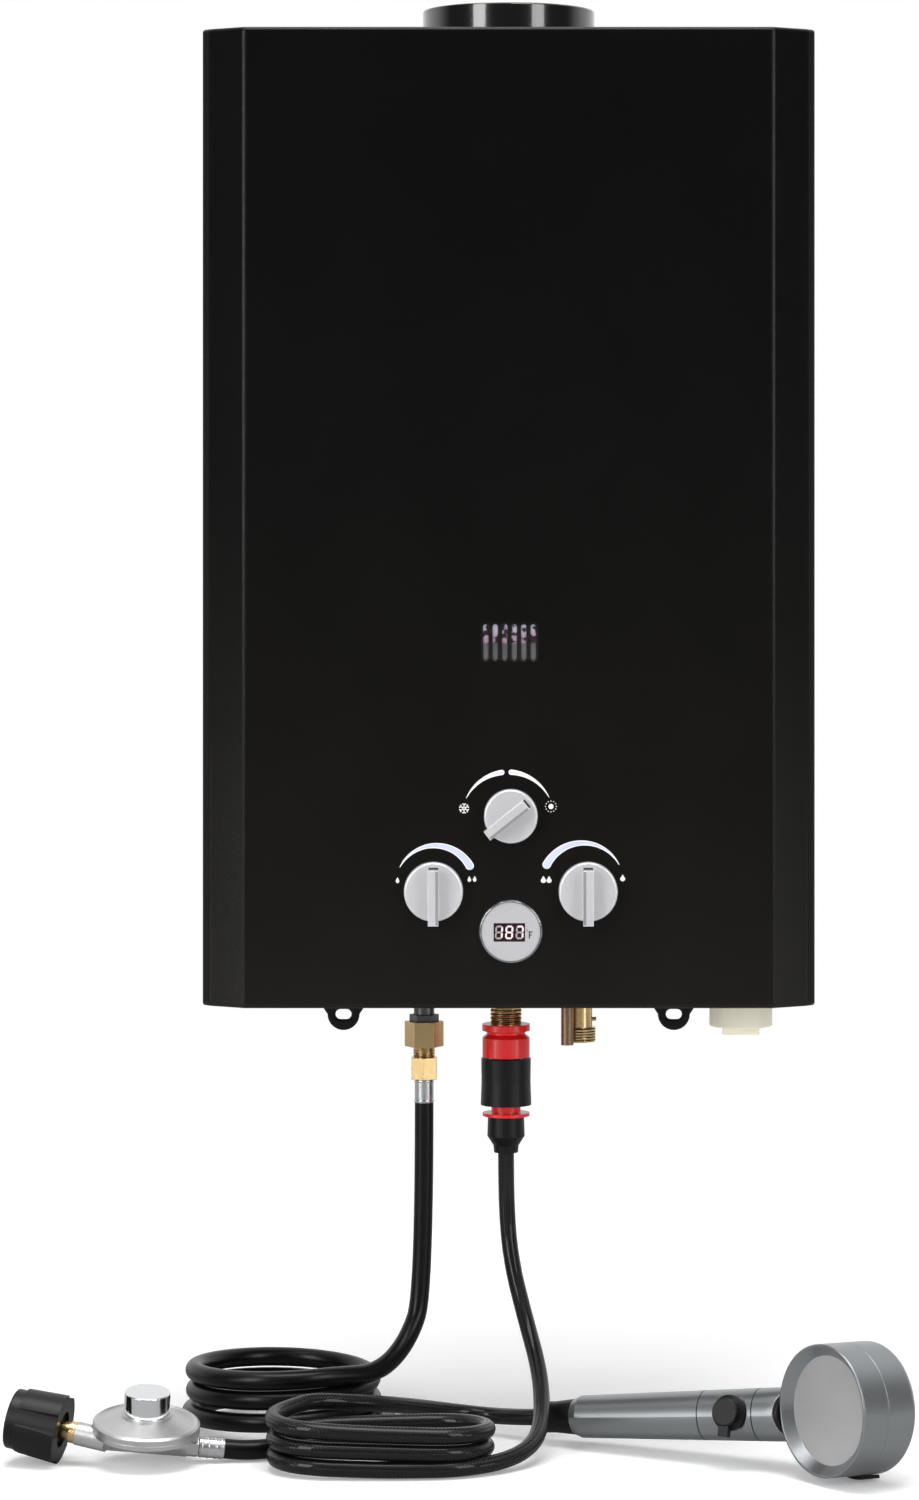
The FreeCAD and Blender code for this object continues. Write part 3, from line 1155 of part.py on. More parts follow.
def shower_frame():
    """Local +Z runs along the handle to the head; the spray leans towards local +X."""
    heading = FreeCAD.Rotation(Z_AXIS, value("shower_heading"))
    down = FreeCAD.Rotation(Y_AXIS, 90 - value("shower_rise"))
    spin = FreeCAD.Rotation(Z_AXIS, value("shower_spin") - 90)
    origin = Vector(value("shower_right"), -value("shower_depth"),
                    value(f"{GROUND} + shower_lift"))
    return FreeCAD.Placement(origin, heading.multiply(down).multiply(spin))


def make_shower(frame):
    lean = FreeCAD.Rotation(Y_AXIS, 90 + value("head_lean"))
    head_centre = FreeCAD.Placement(Vector(0, value("head_shift"), value("handle_length")),
                                    lean)
    head = frame.multiply(head_centre)
    connector = spun("shower_connector",
                     [("0", "-connector_length"),
                      ("connector_tip_radius", "-connector_length"),
                      ("connector_tip_radius", "-connector_taper"),
                      ("connector_radius", "0"), ("0", "0")])
    connector.Placement = frame
    handle_top = "(handle_length - handle_to_head)"
    handle = spun("handle_shell",
                  [("0", "handle_gap"), ("handle_tip_radius", "handle_gap"),
                   ("handle_end_radius", "handle_end_run"), ("handle_head_radius", handle_top),
                   ("0", handle_top)])
    valve_turn = FreeCAD.Rotation(Z_AXIS, value("valve_turn"))
    valve_seat = valve_turn.multiply(FreeCAD.Rotation(Y_AXIS, 90))
    valve_origin = Vector(0, 0, value("valve_place"))

    def at_valve(height):
        return FreeCAD.Placement(
            valve_origin + valve_seat.multVec(Vector(0, 0, value(height))), valve_seat)

    bore = round_tool("valve_bore", "valve_stem_radius + spindle_fit", "valve_seat",
                      at_valve("valve_seat - valve_stem_sink"))
    flat = round_tool("valve_flat", "valve_knob_radius + valve_room", "valve_seat",
                      at_valve("valve_seat"))
    neck = rod("handle_neck", "handle_head_radius",
               ("0", "0", f"{handle_top} - 1"), "handle_to_head + 1")
    below_head, through = along_z(head_centre, "-handle_length"), "handle_length * 2"
    room = round_tool("handle_head_room", "head_radius + head_gap", through, below_head)
    outside = without("handle_outside", fused("handle_blank", handle, neck), room)
    joint = rod("handle_joint", "neck_joint_radius", ("0", "0", f"{handle_top} - 1"),
                "handle_to_head + 1")
    head_space = round_tool("handle_joint_room", "head_radius", through, below_head)
    shower_handle = without("shower_handle", fused("handle_solid", outside,
                                                   without("handle_inside", joint,
                                                           head_space)), bore, flat)
    shower_handle.Placement = frame

    knob_skirt = spun("shower_valve_skirt",
                      [("0", "0"), ("valve_knob_radius", "0"),
                       ("valve_knob_radius", "valve_knob_height * 0.35"),
                       ("valve_face_radius", "valve_knob_height * 0.45"),
                       ("valve_face_radius", "valve_knob_height"),
                       ("0", "valve_knob_height")])
    rounded(knob_skirt, "shower_valve_round", "valve_knob_round",
            rim("valve_face_radius", "valve_knob_height"))
    lever = box("shower_valve_lever",
                ("-valve_lever_width / 2", "0", "valve_knob_height * 0.5"),
                ("valve_lever_width", "valve_lever_length",
                 "valve_knob_height * 0.5 - valve_knob_round"))
    stem = rod("shower_valve_stem", "valve_stem_radius",
               ("0", "0", "-valve_stem_sink + valve_gap * 2"), "valve_stem_sink")
    valve_knob = fused("shower_valve_knob", knob_skirt, lever, stem)
    lever_turn = FreeCAD.Placement(Vector(), FreeCAD.Rotation(Z_AXIS,
                                                              value("valve_lever_turn")))
    lift = at_valve("valve_seat + valve_gap")
    valve_knob.Placement = frame.multiply(lift).multiply(lever_turn)

    inside = "(head_radius - head_wall)"
    shell = spun("shower_head_shell",
                 [("0", "head_rear"), ("head_radius", "head_rear"),
                  ("head_radius", "head_seam - 0.2"), (inside, "head_seam - 0.2"),
                  (inside, "head_rear + head_wall * 2"), ("0", "head_rear + head_wall * 2")])
    rounded(shell, "shower_head_round", "head_rear_round", rim("head_radius", "head_rear"))
    plate_level = "(head_front - plate_sink)"
    ring = spun("shower_face_ring",
                [(inside, "head_seam"), ("head_radius", "head_seam"),
                 ("head_radius", "head_front - 0.6"), ("head_radius - 0.6", "head_front"),
                 ("head_radius - 1.6", "head_front"), ("plate_radius", plate_level),
                 ("plate_radius", f"{plate_level} - plate_thickness"),
                 (inside, f"{plate_level} - plate_thickness")])
    plate = spun("shower_spray_plate",
                 [("0", f"{plate_level} - plate_thickness"),
                  ("plate_radius", f"{plate_level} - plate_thickness"),
                  ("plate_radius", f"{plate_level} - 0.1"), ("0", f"{plate_level} - 0.1")])
    tab = spun("shower_mode_tab",
               [("head_radius + tab_gap", "tab_place"),
                ("head_radius + tab_gap + tab_wall", "tab_place"),
                ("head_radius + tab_gap + tab_wall", "tab_place + tab_length"),
                ("head_radius + tab_gap", "tab_place + tab_length")], value("tab_arc"))
    for item in (shell, ring, plate):
        item.Placement = head
    downward = head.Rotation.inverted().multVec(-Z_AXIS)
    tab_turn = math.degrees(math.atan2(downward.y, downward.x))
    tab.Placement = head.multiply(FreeCAD.Placement(Vector(),
                                                    FreeCAD.Rotation(Z_AXIS, tab_turn)))
    return head


# ---- build, check and write -----------------------------------------------------------------

NODES = """
back_plate front_cover cover_screws inspection_window draft_hood flue_collar exchanger_shell
exchanger_fins exchanger_tubes burner_bars burner_manifold spark_electrodes gas_valve
gas_solenoid water_valve flow_microswitch igniter_box water_pipes hot_outlet_fitting
cold_inlet_fitting relief_tube gas_inlet_tube gas_inlet_nut gas_adapter gas_hose_nut
gas_hose_ferrules gas_hose_drop gas_hose_coil gas_hose_tail regulator_body regulator_bonnet
regulator_cap regulator_spring regulator_inlet cylinder_nut tap_adapter
quick_collar hose_coupling_core hose_clamp_nut water_hose_drop water_hose_coil water_hose_lead
shower_connector shower_handle shower_valve_knob shower_head_shell shower_face_ring
shower_spray_plate shower_mode_tab season_knob gas_knob water_knob season_spindle gas_spindle
water_spindle display_bezel display_module battery_case battery_cells battery_cap
""".split()


def build():
    make_cover()
    make_back_plate()
    make_cover_screws()
    make_window()
    make_exchanger_shell()
    make_fins()
    make_exchanger_tubes()
    make_draft_hood()
    make_flue_collar()
    make_burner()
    make_gas_valve()
    make_gas_solenoid()
    make_water_valve()
    make_microswitch()
    make_igniter()
    make_knob("season_knob", "small_knob_radius", "control_shift", SEASON_HEIGHT,
              -value("season_turn"))
    make_knob("gas_knob", "knob_radius", GAS_KNOB_RIGHT, KNOB_ROW, 0)
    make_knob("water_knob", "knob_radius", WATER_KNOB_RIGHT, KNOB_ROW, 0)
    make_display()
    make_battery_box()
    make_battery_cap()
    make_gas_inlet()
    make_hot_outlet()
    make_coupling()
    make_cold_inlet()
    make_water_pipes()
    regulator, shower = regulator_frame(), shower_frame()
    inlet = make_regulator(regulator)
    head = make_shower(shower)
    make_hoses(regulator, shower)
    return {"regulator": regulator, "regulator inlet": inlet, "shower": shower,
            "shower head": head}


def check_and_export():
    doc.recompute()
    for item in doc.Objects:
        if "Invalid" in item.State or "Error" in item.State:
            raise RuntimeError(f"{item.Name} failed: {item.State}")
    os.makedirs("parts", exist_ok=True)
    for name in NODES:
        node = doc.getObject(name)
        node.Label = name
        shape = node.Shape
        if shape.isNull() or not shape.isValid() or not shape.Solids:
            raise RuntimeError(f"{name} has no valid solid")
        shape.exportStep(f"parts/{name}.step")


places = build()
check_and_export()
for title, frame in places.items():
    base, matrix = frame.Base, frame.Rotation
    axes = [matrix.multVec(axis) for axis in (X_AXIS, Y_AXIS, Z_AXIS)]
    print(title, tuple(round(part, 3) for part in base),
          [tuple(round(part, 5) for part in axis) for axis in axes])
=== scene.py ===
import math

import bmesh
import bpy
import numpy as np
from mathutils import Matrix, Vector


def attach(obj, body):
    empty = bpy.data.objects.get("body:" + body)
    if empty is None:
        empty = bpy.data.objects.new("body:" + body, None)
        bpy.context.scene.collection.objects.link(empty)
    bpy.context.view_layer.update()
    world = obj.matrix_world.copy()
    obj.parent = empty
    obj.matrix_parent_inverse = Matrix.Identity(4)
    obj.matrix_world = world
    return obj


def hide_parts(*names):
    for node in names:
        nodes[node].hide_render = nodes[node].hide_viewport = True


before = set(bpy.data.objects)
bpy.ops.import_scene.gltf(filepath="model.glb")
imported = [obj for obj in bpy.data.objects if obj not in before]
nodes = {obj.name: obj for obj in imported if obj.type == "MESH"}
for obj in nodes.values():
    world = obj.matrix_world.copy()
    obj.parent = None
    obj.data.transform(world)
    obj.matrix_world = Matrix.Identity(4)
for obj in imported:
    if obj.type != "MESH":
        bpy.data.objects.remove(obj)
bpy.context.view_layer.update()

# Sizes and places are in millimetres. Only the hoses' runs and radii, the materials, the
# lamps and the camera have theirs in metres.
MM = 0.001
FRONT = -150.0
FLOOR = -577.5
AXES = np.eye(3)


# ---------------------------------------------------------------- mesh makers


def surface(name, grid, ring=False, loop=False, facing=None, sharp=35, weld=True):
    """A skin over a grid of points in millimetres, rows by columns.

    Point (i, j) joins to (i + 1, j), (i + 1, j + 1) and (i, j + 1); ring closes the
    columns on themselves and loop closes the rows. The UV map runs 0 to 1 both ways.
    """
    rows, columns = grid.shape[:2]
    i, j = np.meshgrid(
        np.arange(rows if loop else rows - 1),
        np.arange(columns if ring else columns - 1),
        indexing="ij",
    )
    i, j = i.ravel(), j.ravel()
    corner_rows = np.stack([i, i + 1, i + 1, i], 1)
    corner_columns = np.stack([j, j, j + 1, j + 1], 1)
    corners = (corner_rows % rows) * columns + corner_columns % columns
    mesh = bpy.data.meshes.new(name)
    mesh.vertices.add(rows * columns)
    mesh.vertices.foreach_set("co", (grid * MM).astype(np.float32).ravel())
    mesh.loops.add(corners.size)
    mesh.loops.foreach_set("vertex_index", corners.astype(np.int32).ravel())
    mesh.polygons.add(len(corners))
    mesh.polygons.foreach_set("loop_start", np.arange(0, corners.size, 4, dtype=np.int32))
    uv = np.stack(
        [corner_columns / max(columns - (not ring), 1), corner_rows / max(rows - (not loop), 1)],
        2,
    )
    mesh.uv_layers.new(name="UVMap").uv.foreach_set("vector", uv.astype(np.float32).ravel())
    mesh.update(calc_edges=True)
    work = bmesh.new()
    work.from_mesh(mesh)
    if weld:
        bmesh.ops.remove_doubles(work, verts=work.verts, dist=2e-6)
        bmesh.ops.dissolve_degenerate(work, edges=work.edges, dist=1e-7)
    if facing is None:
        bmesh.ops.recalc_face_normals(work, faces=work.faces)
    else:
        toward = sum((f.normal * f.calc_area() for f in work.faces), start=Vector((0, 0, 0)))
        if toward.dot(facing) < 0:
            bmesh.ops.reverse_faces(work, faces=work.faces)
    work.to_mesh(mesh)
    work.free()
    mesh.polygons.foreach_set("use_smooth", np.ones(len(mesh.polygons), bool))
    mesh.set_sharp_from_angle(angle=math.radians(sharp))
    made = bpy.data.objects.new(name, mesh)
    bpy.context.scene.collection.objects.link(made)
    return made


def joined(name, *pieces):
    """One object from several, as one mesh."""
    work = bmesh.new()
    for piece in pieces:
        work.from_mesh(piece.data)
        mesh = piece.data
        bpy.data.objects.remove(piece)
        bpy.data.meshes.remove(mesh)
    mesh = bpy.data.meshes.new(name)
    work.to_mesh(mesh)
    work.free()
    made = bpy.data.objects.new(name, mesh)
    bpy.context.scene.collection.objects.link(made)
    return made


def turned(name, outline, origin, axes=AXES, sides=96):
    """A turned ring: each (radius, height) of the outline goes round the third axis.

    A point lies its radius away from the origin, in the plane of the first two axes, and
    its height along the third. The outline's last point joins its first.
    """
    outline = np.asarray(outline, float)
    angle = np.linspace(0, 2 * np.pi, sides, endpoint=False)
    radius = outline[:, :1] * np.ones(sides)
    height = outline[:, 1:] * np.ones(sides)
    grid = (
        np.asarray(origin, float)
        + (radius * np.cos(angle))[..., None] * axes[0]
        + (radius * np.sin(angle))[..., None] * axes[1]
        + height[..., None] * axes[2]
    )
    return surface(name, grid, ring=True, loop=True)


def spline_line(points):
    """The line of one open NURBS spline of order 3 through its control points."""
    points = np.asarray(points, float)
    curve = bpy.data.curves.new("line", "CURVE")
    curve.dimensions = "3D"
    spline = curve.splines.new("NURBS")
    spline.points.add(len(points) - 1)
    spline.points.foreach_set("co", np.column_stack([points, np.ones(len(points))]).ravel())
    spline.order_u = 3
    spline.use_endpoint_u = True
    spline.resolution_u = 10
    carrier = bpy.data.objects.new("line", curve)
    bpy.context.scene.collection.objects.link(carrier)
    read = bpy.data.meshes.new_from_object(carrier)
    line = np.empty(3 * len(read.vertices), np.float32)
    read.vertices.foreach_get("co", line)
    bpy.data.meshes.remove(read)
    bpy.data.objects.remove(carrier)
    return line.reshape(-1, 3).astype(float)


def carried_frames(line):
    """Two sideways directions at each point of a line, carried along it without twist."""
    ahead = np.gradient(line, axis=0)
    ahead /= np.linalg.norm(ahead, axis=1)[:, None]
    off_line = (0.3, 0.9, 0.1)
    side = np.cross(ahead[0], off_line)
    sides = []
    for heading in ahead:
        side = side - heading * side.dot(heading)
        side = side / np.linalg.norm(side)
        sides.append(side)
    sides = np.array(sides)
    return sides, np.cross(ahead, sides)


def hose(name, line, radius, sides=28):
    """A round tube: a circle of the radius carried along the line, closed at both ends."""
    across, over = carried_frames(line)
    angle = np.linspace(0, 2 * np.pi, sides, endpoint=False)
    rim = np.cos(angle)[None, :, None] * across[:, None] + np.sin(angle)[None, :, None] * over[:, None]
    grid = line[:, None] + radius * rim
    ends = [np.repeat(line[k][None, None], sides, 1) for k in (0, -1)]
    made = surface(name, np.concatenate([ends[0], grid, ends[1]]) / MM, ring=True, weld=False)
    lengths = np.concatenate([[0, 0], np.cumsum(np.linalg.norm(np.diff(line, axis=0), axis=1))])
    lengths = np.append(lengths, lengths[-1])
    layer = made.data.uv_layers["UVMap"].uv
    uv = np.empty(2 * len(layer), np.float32)
    layer.foreach_get("vector", uv)
    uv = uv.reshape(-1, 2)
    row = np.rint(uv[:, 1] * (len(line) + 1)).astype(int)
    uv[:, 1] = lengths[row] / (2 * np.pi * radius)
    layer.foreach_set("vector", uv.ravel())
    return made


# ---------------------------------------------------------------- shader makers


def put(tree, kind, inputs=None, **settings):
    """A shader node with its settings, and each input either linked or given a value."""
    made = tree.nodes.new("ShaderNode" + kind)
    for key, value in settings.items():
        setattr(made, key, value)
    for key, value in (inputs or {}).items():
        if isinstance(value, bpy.types.NodeSocket):
            tree.links.new(value, made.inputs[key])
        else:
            made.inputs[key].default_value = value
    return made


def maths(tree, operation, a, b=0.0, c=0.0):
    return put(tree, "Math", {0: a, 1: b, 2: c}, operation=operation).outputs[0]


def ramp(tree, value, low, high, to_low=0.0, to_high=1.0):
    """value between low and high becomes to_low to to_high, smoothly and held at the ends."""
    return put(
        tree,
        "MapRange",
        {"Value": value, "From Min": low, "From Max": high, "To Min": to_low, "To Max": to_high},
        interpolation_type="SMOOTHSTEP",
    ).outputs["Result"]


def mixed(tree, factor, a, b):
    """Colour a where the factor is 0, and colour b where it is 1."""
    made = put(tree, "Mix", data_type="RGBA", clamp_factor=True)
    for index, value in ((0, factor), (6, a), (7, b)):
        if isinstance(value, bpy.types.NodeSocket):
            tree.links.new(value, made.inputs[index])
        else:
            made.inputs[index].default_value = value
    return made.outputs[2]


def bumped(tree, height, depth, normal):
    """The normal bumped by the height, as deep as the depth."""
    inputs = {"Height": height, "Distance": depth, "Strength": 1.0, "Normal": normal}
    return put(tree, "Bump", inputs).outputs[0]


def object_height(tree):
    """Height above the origin, in metres."""
    return put(tree, "SeparateXYZ", {0: put(tree, "TexCoord").outputs["Object"]}).outputs[2]


def new_group(name, inputs, outputs):
    """A node group with its inputs' usual values, and its inner input and output sockets."""
    tree = bpy.data.node_groups.new(name, "ShaderNodeTree")
    for label, value in inputs.items():
        kind = "NodeSocketFloat" if isinstance(value, float) else "NodeSocketVector"
        tree.interface.new_socket(label, in_out="INPUT", socket_type=kind).default_value = value
    for label in outputs:
        kind = "NodeSocketVector" if label == "Normal" else "NodeSocketFloat"
        tree.interface.new_socket(label, in_out="OUTPUT", socket_type=kind)
    return tree, tree.nodes.new("NodeGroupInput").outputs, tree.nodes.new("NodeGroupOutput").inputs


def edge_group():
    """Softened edges: the normal of an edge rounded to the radius, and a mask along it."""
    tree, given, out = new_group("Softened Edge", {"Radius": 0.0005}, ["Edge", "Normal"])
    bevel = put(tree, "Bevel", {"Radius": given["Radius"]}, samples=6).outputs[0]
    plain = put(tree, "NewGeometry").outputs["Normal"]
    along = put(tree, "VectorMath", {0: bevel, 1: plain}, operation="DOT_PRODUCT").outputs["Value"]
    tree.links.new(ramp(tree, along, 0.995, 0.9), out["Edge"])
    tree.links.new(bevel, out["Normal"])
    return tree


def grain_group():
    """Fine grain as a mask, broad patches as a second one, and the normal bumped by the grain."""
    tree, given, out = new_group(
        "Fine Grain",
        {"Scale": 900.0, "Depth": 0.00003, "Normal": (0, 0, 0)},
        ["Grain", "Mottle", "Normal"],
    )
    place = put(tree, "TexCoord").outputs["Object"]
    noise = put(tree, "TexNoise", {"Vector": place, "Scale": given["Scale"], "Detail": 3.0})
    broad = put(tree, "TexNoise", {"Vector": place, "Scale": 14.0, "Detail": 4.0})
    bump = bumped(tree, noise.outputs[0], given["Depth"], given["Normal"])
    tree.links.new(noise.outputs[0], out["Grain"])
    tree.links.new(ramp(tree, broad.outputs[0], 0.35, 0.65), out["Mottle"])
    tree.links.new(bump, out["Normal"])
    return tree


def brush_group():
    """Brushed lines: noise drawn out by the stretch vector, as a mask and a bumped normal."""
    tree, given, out = new_group(
        "Brushed Lines",
        {"Stretch": (1500.0, 1500.0, 40.0), "Depth": 0.00002, "Normal": (0, 0, 0)},
        ["Lines", "Normal"],
    )
    place = put(tree, "TexCoord").outputs["Object"]
    drawn = put(tree, "VectorMath", {0: place, 1: given["Stretch"]}, operation="MULTIPLY")
    noise = put(tree, "TexNoise", {"Vector": drawn.outputs[0], "Scale": 1.0, "Detail": 3.0})
    bump = bumped(tree, noise.outputs[0], given["Depth"], given["Normal"])
    tree.links.new(noise.outputs[0], out["Lines"])
    tree.links.new(bump, out["Normal"])
    return tree


def braid_group():
    """A flat braid on the UV map: two sets of slanting strands that take turns on top."""
    tree, given, out = new_group(
        "Flat Braid",
        {"Strands": 14.0, "Depth": 0.00025, "Normal": (0, 0, 0)},
        ["Height", "Normal"],
    )
    place = put(tree, "SeparateXYZ", {0: put(tree, "UVMap", uv_map="UVMap").outputs[0]})
    round_way = maths(tree, "MULTIPLY", place.outputs[0], given["Strands"])
    long_way = maths(tree, "MULTIPLY", place.outputs[1], given["Strands"])
    left = maths(tree, "ADD", round_way, long_way)
    right = maths(tree, "SUBTRACT", round_way, long_way)
    crowns = [
        maths(tree, "ABSOLUTE", maths(tree, "SINE", maths(tree, "MULTIPLY", lay, math.pi)))
        for lay in (left, right)
    ]
    cells = maths(tree, "ADD", maths(tree, "FLOOR", left), maths(tree, "FLOOR", right))
    turn = maths(tree, "FLOORED_MODULO", cells, 2.0)
    under = maths(tree, "MULTIPLY", crowns[0], maths(tree, "SUBTRACT", 1.0, turn))
    height = maths(tree, "ADD", under, maths(tree, "MULTIPLY", crowns[1], turn))
    tree.links.new(height, out["Height"])
    tree.links.new(bumped(tree, height, given["Depth"], given["Normal"]), out["Normal"])
    return tree


EDGE, GRAIN, BRUSH, BRAID = edge_group(), grain_group(), brush_group(), braid_group()


def use(tree, group, **inputs):
    """A copy of the group in the tree, and its outputs."""
    made = tree.nodes.new("ShaderNodeGroup")
    made.node_tree = group
    for key, value in inputs.items():
        if isinstance(value, bpy.types.NodeSocket):
            tree.links.new(value, made.inputs[key])
        else:
            made.inputs[key].default_value = value
    return made.outputs


def shade(colour, amount):
    """The colour made darker or paler, as one that a shader takes."""
    return (*(min(1.0, c * amount) for c in colour), 1.0)


def rgb(*colour):
    return (*colour, 1.0)


def mottled(tree, mottle, colour, spread):
    """The colour, darker and paler by the spread in broad patches."""
    return mixed(tree, mottle, shade(colour, 1 - spread), shade(colour, 1 + spread))


def finish_start(name):
    """A new material, its node tree and its shader's inputs."""
    made = bpy.data.materials.new(name)
    made.use_nodes = True
    tree = made.node_tree
    return made, tree, tree.nodes["Principled BSDF"].inputs


def set_values(shader, **values):
    for key, value in values.items():
        shader[key.replace("_", " ")].default_value = value


# How far a softened edge takes its paler colour as a painted highlight, how much grain and drawn lines
# vary the roughness, how far lines darken bare metal and by what share, and how bright its painted edge
# highlight is.
EDGE_HIGHLIGHT = 0.6
GRAIN_ROUGHNESS = 0.12
LINE_ROUGHNESS = 0.16
LINE_TONE = 0.7
LINE_SHARE = 0.25
EDGE_GLEAM = 1.15


def coated(
    name, colour, rough, edge=0.0005, grain=900.0, depth=0.00003, metal=0.0, spread=0.08,
    edge_light=1.6, coat=0.0, coat_rough=0.1, specular=0.5, low=None, low_z=(-0.3, 0.3),
):
    """A moulded, cast or painted finish: fine grain, mottled tone and edges painted paler as a highlight.

    low is the colour at the lower of the two heights, where the tone changes down a piece.
    """
    made, tree, shader = finish_start(name)
    soft = use(tree, EDGE, Radius=edge)
    fine = use(tree, GRAIN, Scale=grain, Depth=depth, Normal=soft["Normal"])
    tone = mottled(tree, fine["Mottle"], colour, spread)
    # A colour that changes down the piece; on the cover this is painted light, paler towards the bottom.
    if low is not None:
        lower = mottled(tree, fine["Mottle"], low, spread)
        tone = mixed(tree, ramp(tree, object_height(tree), *low_z), lower, tone)
    # Painted highlight: softened edges take the paler colour.
    edge_highlight = maths(tree, "MULTIPLY", soft["Edge"], EDGE_HIGHLIGHT)
    tree.links.new(mixed(tree, edge_highlight, tone, shade(colour, edge_light)), shader["Base Color"])
    rougher = maths(tree, "MULTIPLY_ADD", fine["Grain"], GRAIN_ROUGHNESS, rough - GRAIN_ROUGHNESS / 2)
    tree.links.new(rougher, shader["Roughness"])
    tree.links.new(fine["Normal"], shader["Normal"])
    set_values(shader, Metallic=metal, Specular_IOR_Level=specular)
    set_values(shader, Coat_Weight=coat, Coat_Roughness=coat_rough)
    return made


def metal_finish(
    name, colour, rough, edge=0.0004, stretch=(900.0, 900.0, 900.0), depth=0.00002,
    dark=0.82, metal=1.0,
):
    """Bare metal: drawn lines or fine turning marks, tarnish in broad patches, and a painted highlight
    along the edges.
    """
    made, tree, shader = finish_start(name)
    soft = use(tree, EDGE, Radius=edge)
    lines = use(tree, BRUSH, Stretch=stretch, Depth=depth, Normal=soft["Normal"])
    fine = use(tree, GRAIN, Scale=300.0, Depth=depth / 2, Normal=lines["Normal"])
    tone = mixed(tree, fine["Mottle"], shade(colour, dark), rgb(*colour))
    tone = mixed(tree, maths(tree, "MULTIPLY", lines["Lines"], LINE_SHARE), tone, shade(colour, LINE_TONE))
    # Painted highlight: softened edges take the brighter colour.
    tree.links.new(mixed(tree, soft["Edge"], tone, shade(colour, EDGE_GLEAM)), shader["Base Color"])
    rougher = maths(tree, "MULTIPLY_ADD", lines["Lines"], LINE_ROUGHNESS, rough - LINE_ROUGHNESS / 2)
    tree.links.new(rougher, shader["Roughness"])
    tree.links.new(fine["Normal"], shader["Normal"])
    set_values(shader, Metallic=metal)
    return made


def braid_finish():
    """Black braid under a clear glossy skin: the braid bumps the base and paints shade in its hollows, the
    skin keeps its gloss.
    """
    made, tree, shader = finish_start("clear coated black braid")
    plain = put(tree, "NewGeometry").outputs["Normal"]
    weave = use(tree, BRAID, Strands=14.0, Depth=0.00022, Normal=plain)
    # Painted shade: darker where the strands dip under.
    tone = mixed(tree, weave["Height"], rgb(0.001, 0.001, 0.001), rgb(0.005, 0.005, 0.0055))
    tree.links.new(tone, shader["Base Color"])
    tree.links.new(ramp(tree, weave["Height"], 0.0, 1.0, 0.42, 0.2), shader["Roughness"])
    tree.links.new(weave["Normal"], shader["Normal"])
    set_values(shader, Coat_Weight=0.3, Coat_Roughness=0.07, Specular_IOR_Level=0.18)
    return made


# Heights between which the window turns from grey to pink, and from pink to pale.
WINDOW_PINK = (-0.0785, -0.0765)
WINDOW_PALE = (-0.077, -0.067)


def window_finish():
    """The slots' clear sheet over the chamber: speckled pink and pale above, grey below."""
    made, tree, shader = finish_start("clear sheet over the chamber")
    height = object_height(tree)
    plain = put(tree, "NewGeometry").outputs["Normal"]
    fine = use(tree, GRAIN, Scale=220.0, Depth=0.0001, Normal=plain)
    paler = ramp(tree, height, *WINDOW_PALE)
    upper = mixed(tree, paler, rgb(0.3, 0.2, 0.26), rgb(0.42, 0.39, 0.5))
    speckle = ramp(tree, fine["Grain"], 0.48, 0.58)
    upper = mixed(tree, speckle, upper, rgb(0.03, 0.012, 0.02))
    lower = mixed(tree, fine["Mottle"], rgb(0.06, 0.06, 0.063), rgb(0.13, 0.13, 0.135))
    tone = mixed(tree, ramp(tree, height, *WINDOW_PINK), lower, upper)
    tree.links.new(tone, shader["Base Color"])
    tree.links.new(fine["Normal"], shader["Normal"])
    set_values(shader, Roughness=0.25)
    return made


# The cover is painted paler and warmer towards the bottom as light, and its softened folds get a strong
# painted highlight.
BLACK_COVER = coated(
    "satin black powder coat", (0.0016, 0.0017, 0.0019), 0.23, edge=0.0024, grain=700.0,
    depth=0.00003, edge_light=5.0, specular=0.28, low=(0.0052, 0.0047, 0.0039), low_z=(-0.35, 0.3),
)
GLOSS_BLACK = coated(
    "gloss black enamel", (0.004, 0.004, 0.0045), 0.18, edge=0.0006, coat=1.0, coat_rough=0.05,
    edge_light=3.0, specular=0.4,
)
ZINC_STEEL = metal_finish("zinc plated steel", (0.72, 0.72, 0.74), 0.3)
DARK_STEEL = metal_finish("blued steel", (0.16, 0.16, 0.165), 0.34)
COPPER = metal_finish("bare copper", (0.72, 0.36, 0.24), 0.36)
STEEL = metal_finish("stainless sheet", (0.56, 0.56, 0.57), 0.32)
CAST_ALUMINIUM = coated(
    "cast aluminium", (0.6, 0.61, 0.62), 0.48, metal=0.75, grain=500.0, depth=0.00012,
)
BRASS = metal_finish("machined brass", (0.83, 0.6, 0.3), 0.24)
OLD_BRASS = metal_finish("brown brass", (0.36, 0.24, 0.15), 0.4)
CERAMIC = coated("glazed ceramic", (0.86, 0.85, 0.8), 0.15, coat=0.6)
BLACK_PLASTIC = coated(
    "moulded black", (0.004, 0.004, 0.0044), 0.36, grain=1300.0, depth=0.00005, edge_light=6.0,
    specular=0.28,
)
CREAM = coated("moulded cream", (0.8, 0.76, 0.62), 0.42, edge=0.0008, spread=0.04, edge_light=1.08)
RED = coated(
    "moulded red", (0.66, 0.006, 0.008), 0.3, edge=0.0006, spread=0.05, edge_light=1.15, coat=0.3,
)
RUBBER = coated(
    "smooth black hose", (0.003, 0.003, 0.0032), 0.3, grain=450.0, depth=0.00002, edge_light=1.0,
    specular=0.22,
)
ZINC_CAST = coated(
    "die cast zinc", (0.52, 0.52, 0.52), 0.36, metal=0.85, edge=0.0007, grain=650.0,
    depth=0.0001, edge_light=1.5,
)
CHROME = metal_finish("bright chrome", (0.86, 0.87, 0.88), 0.1, depth=0.000004, dark=0.95)
FINE_LINES = (2200.0, 2200.0, 2200.0)
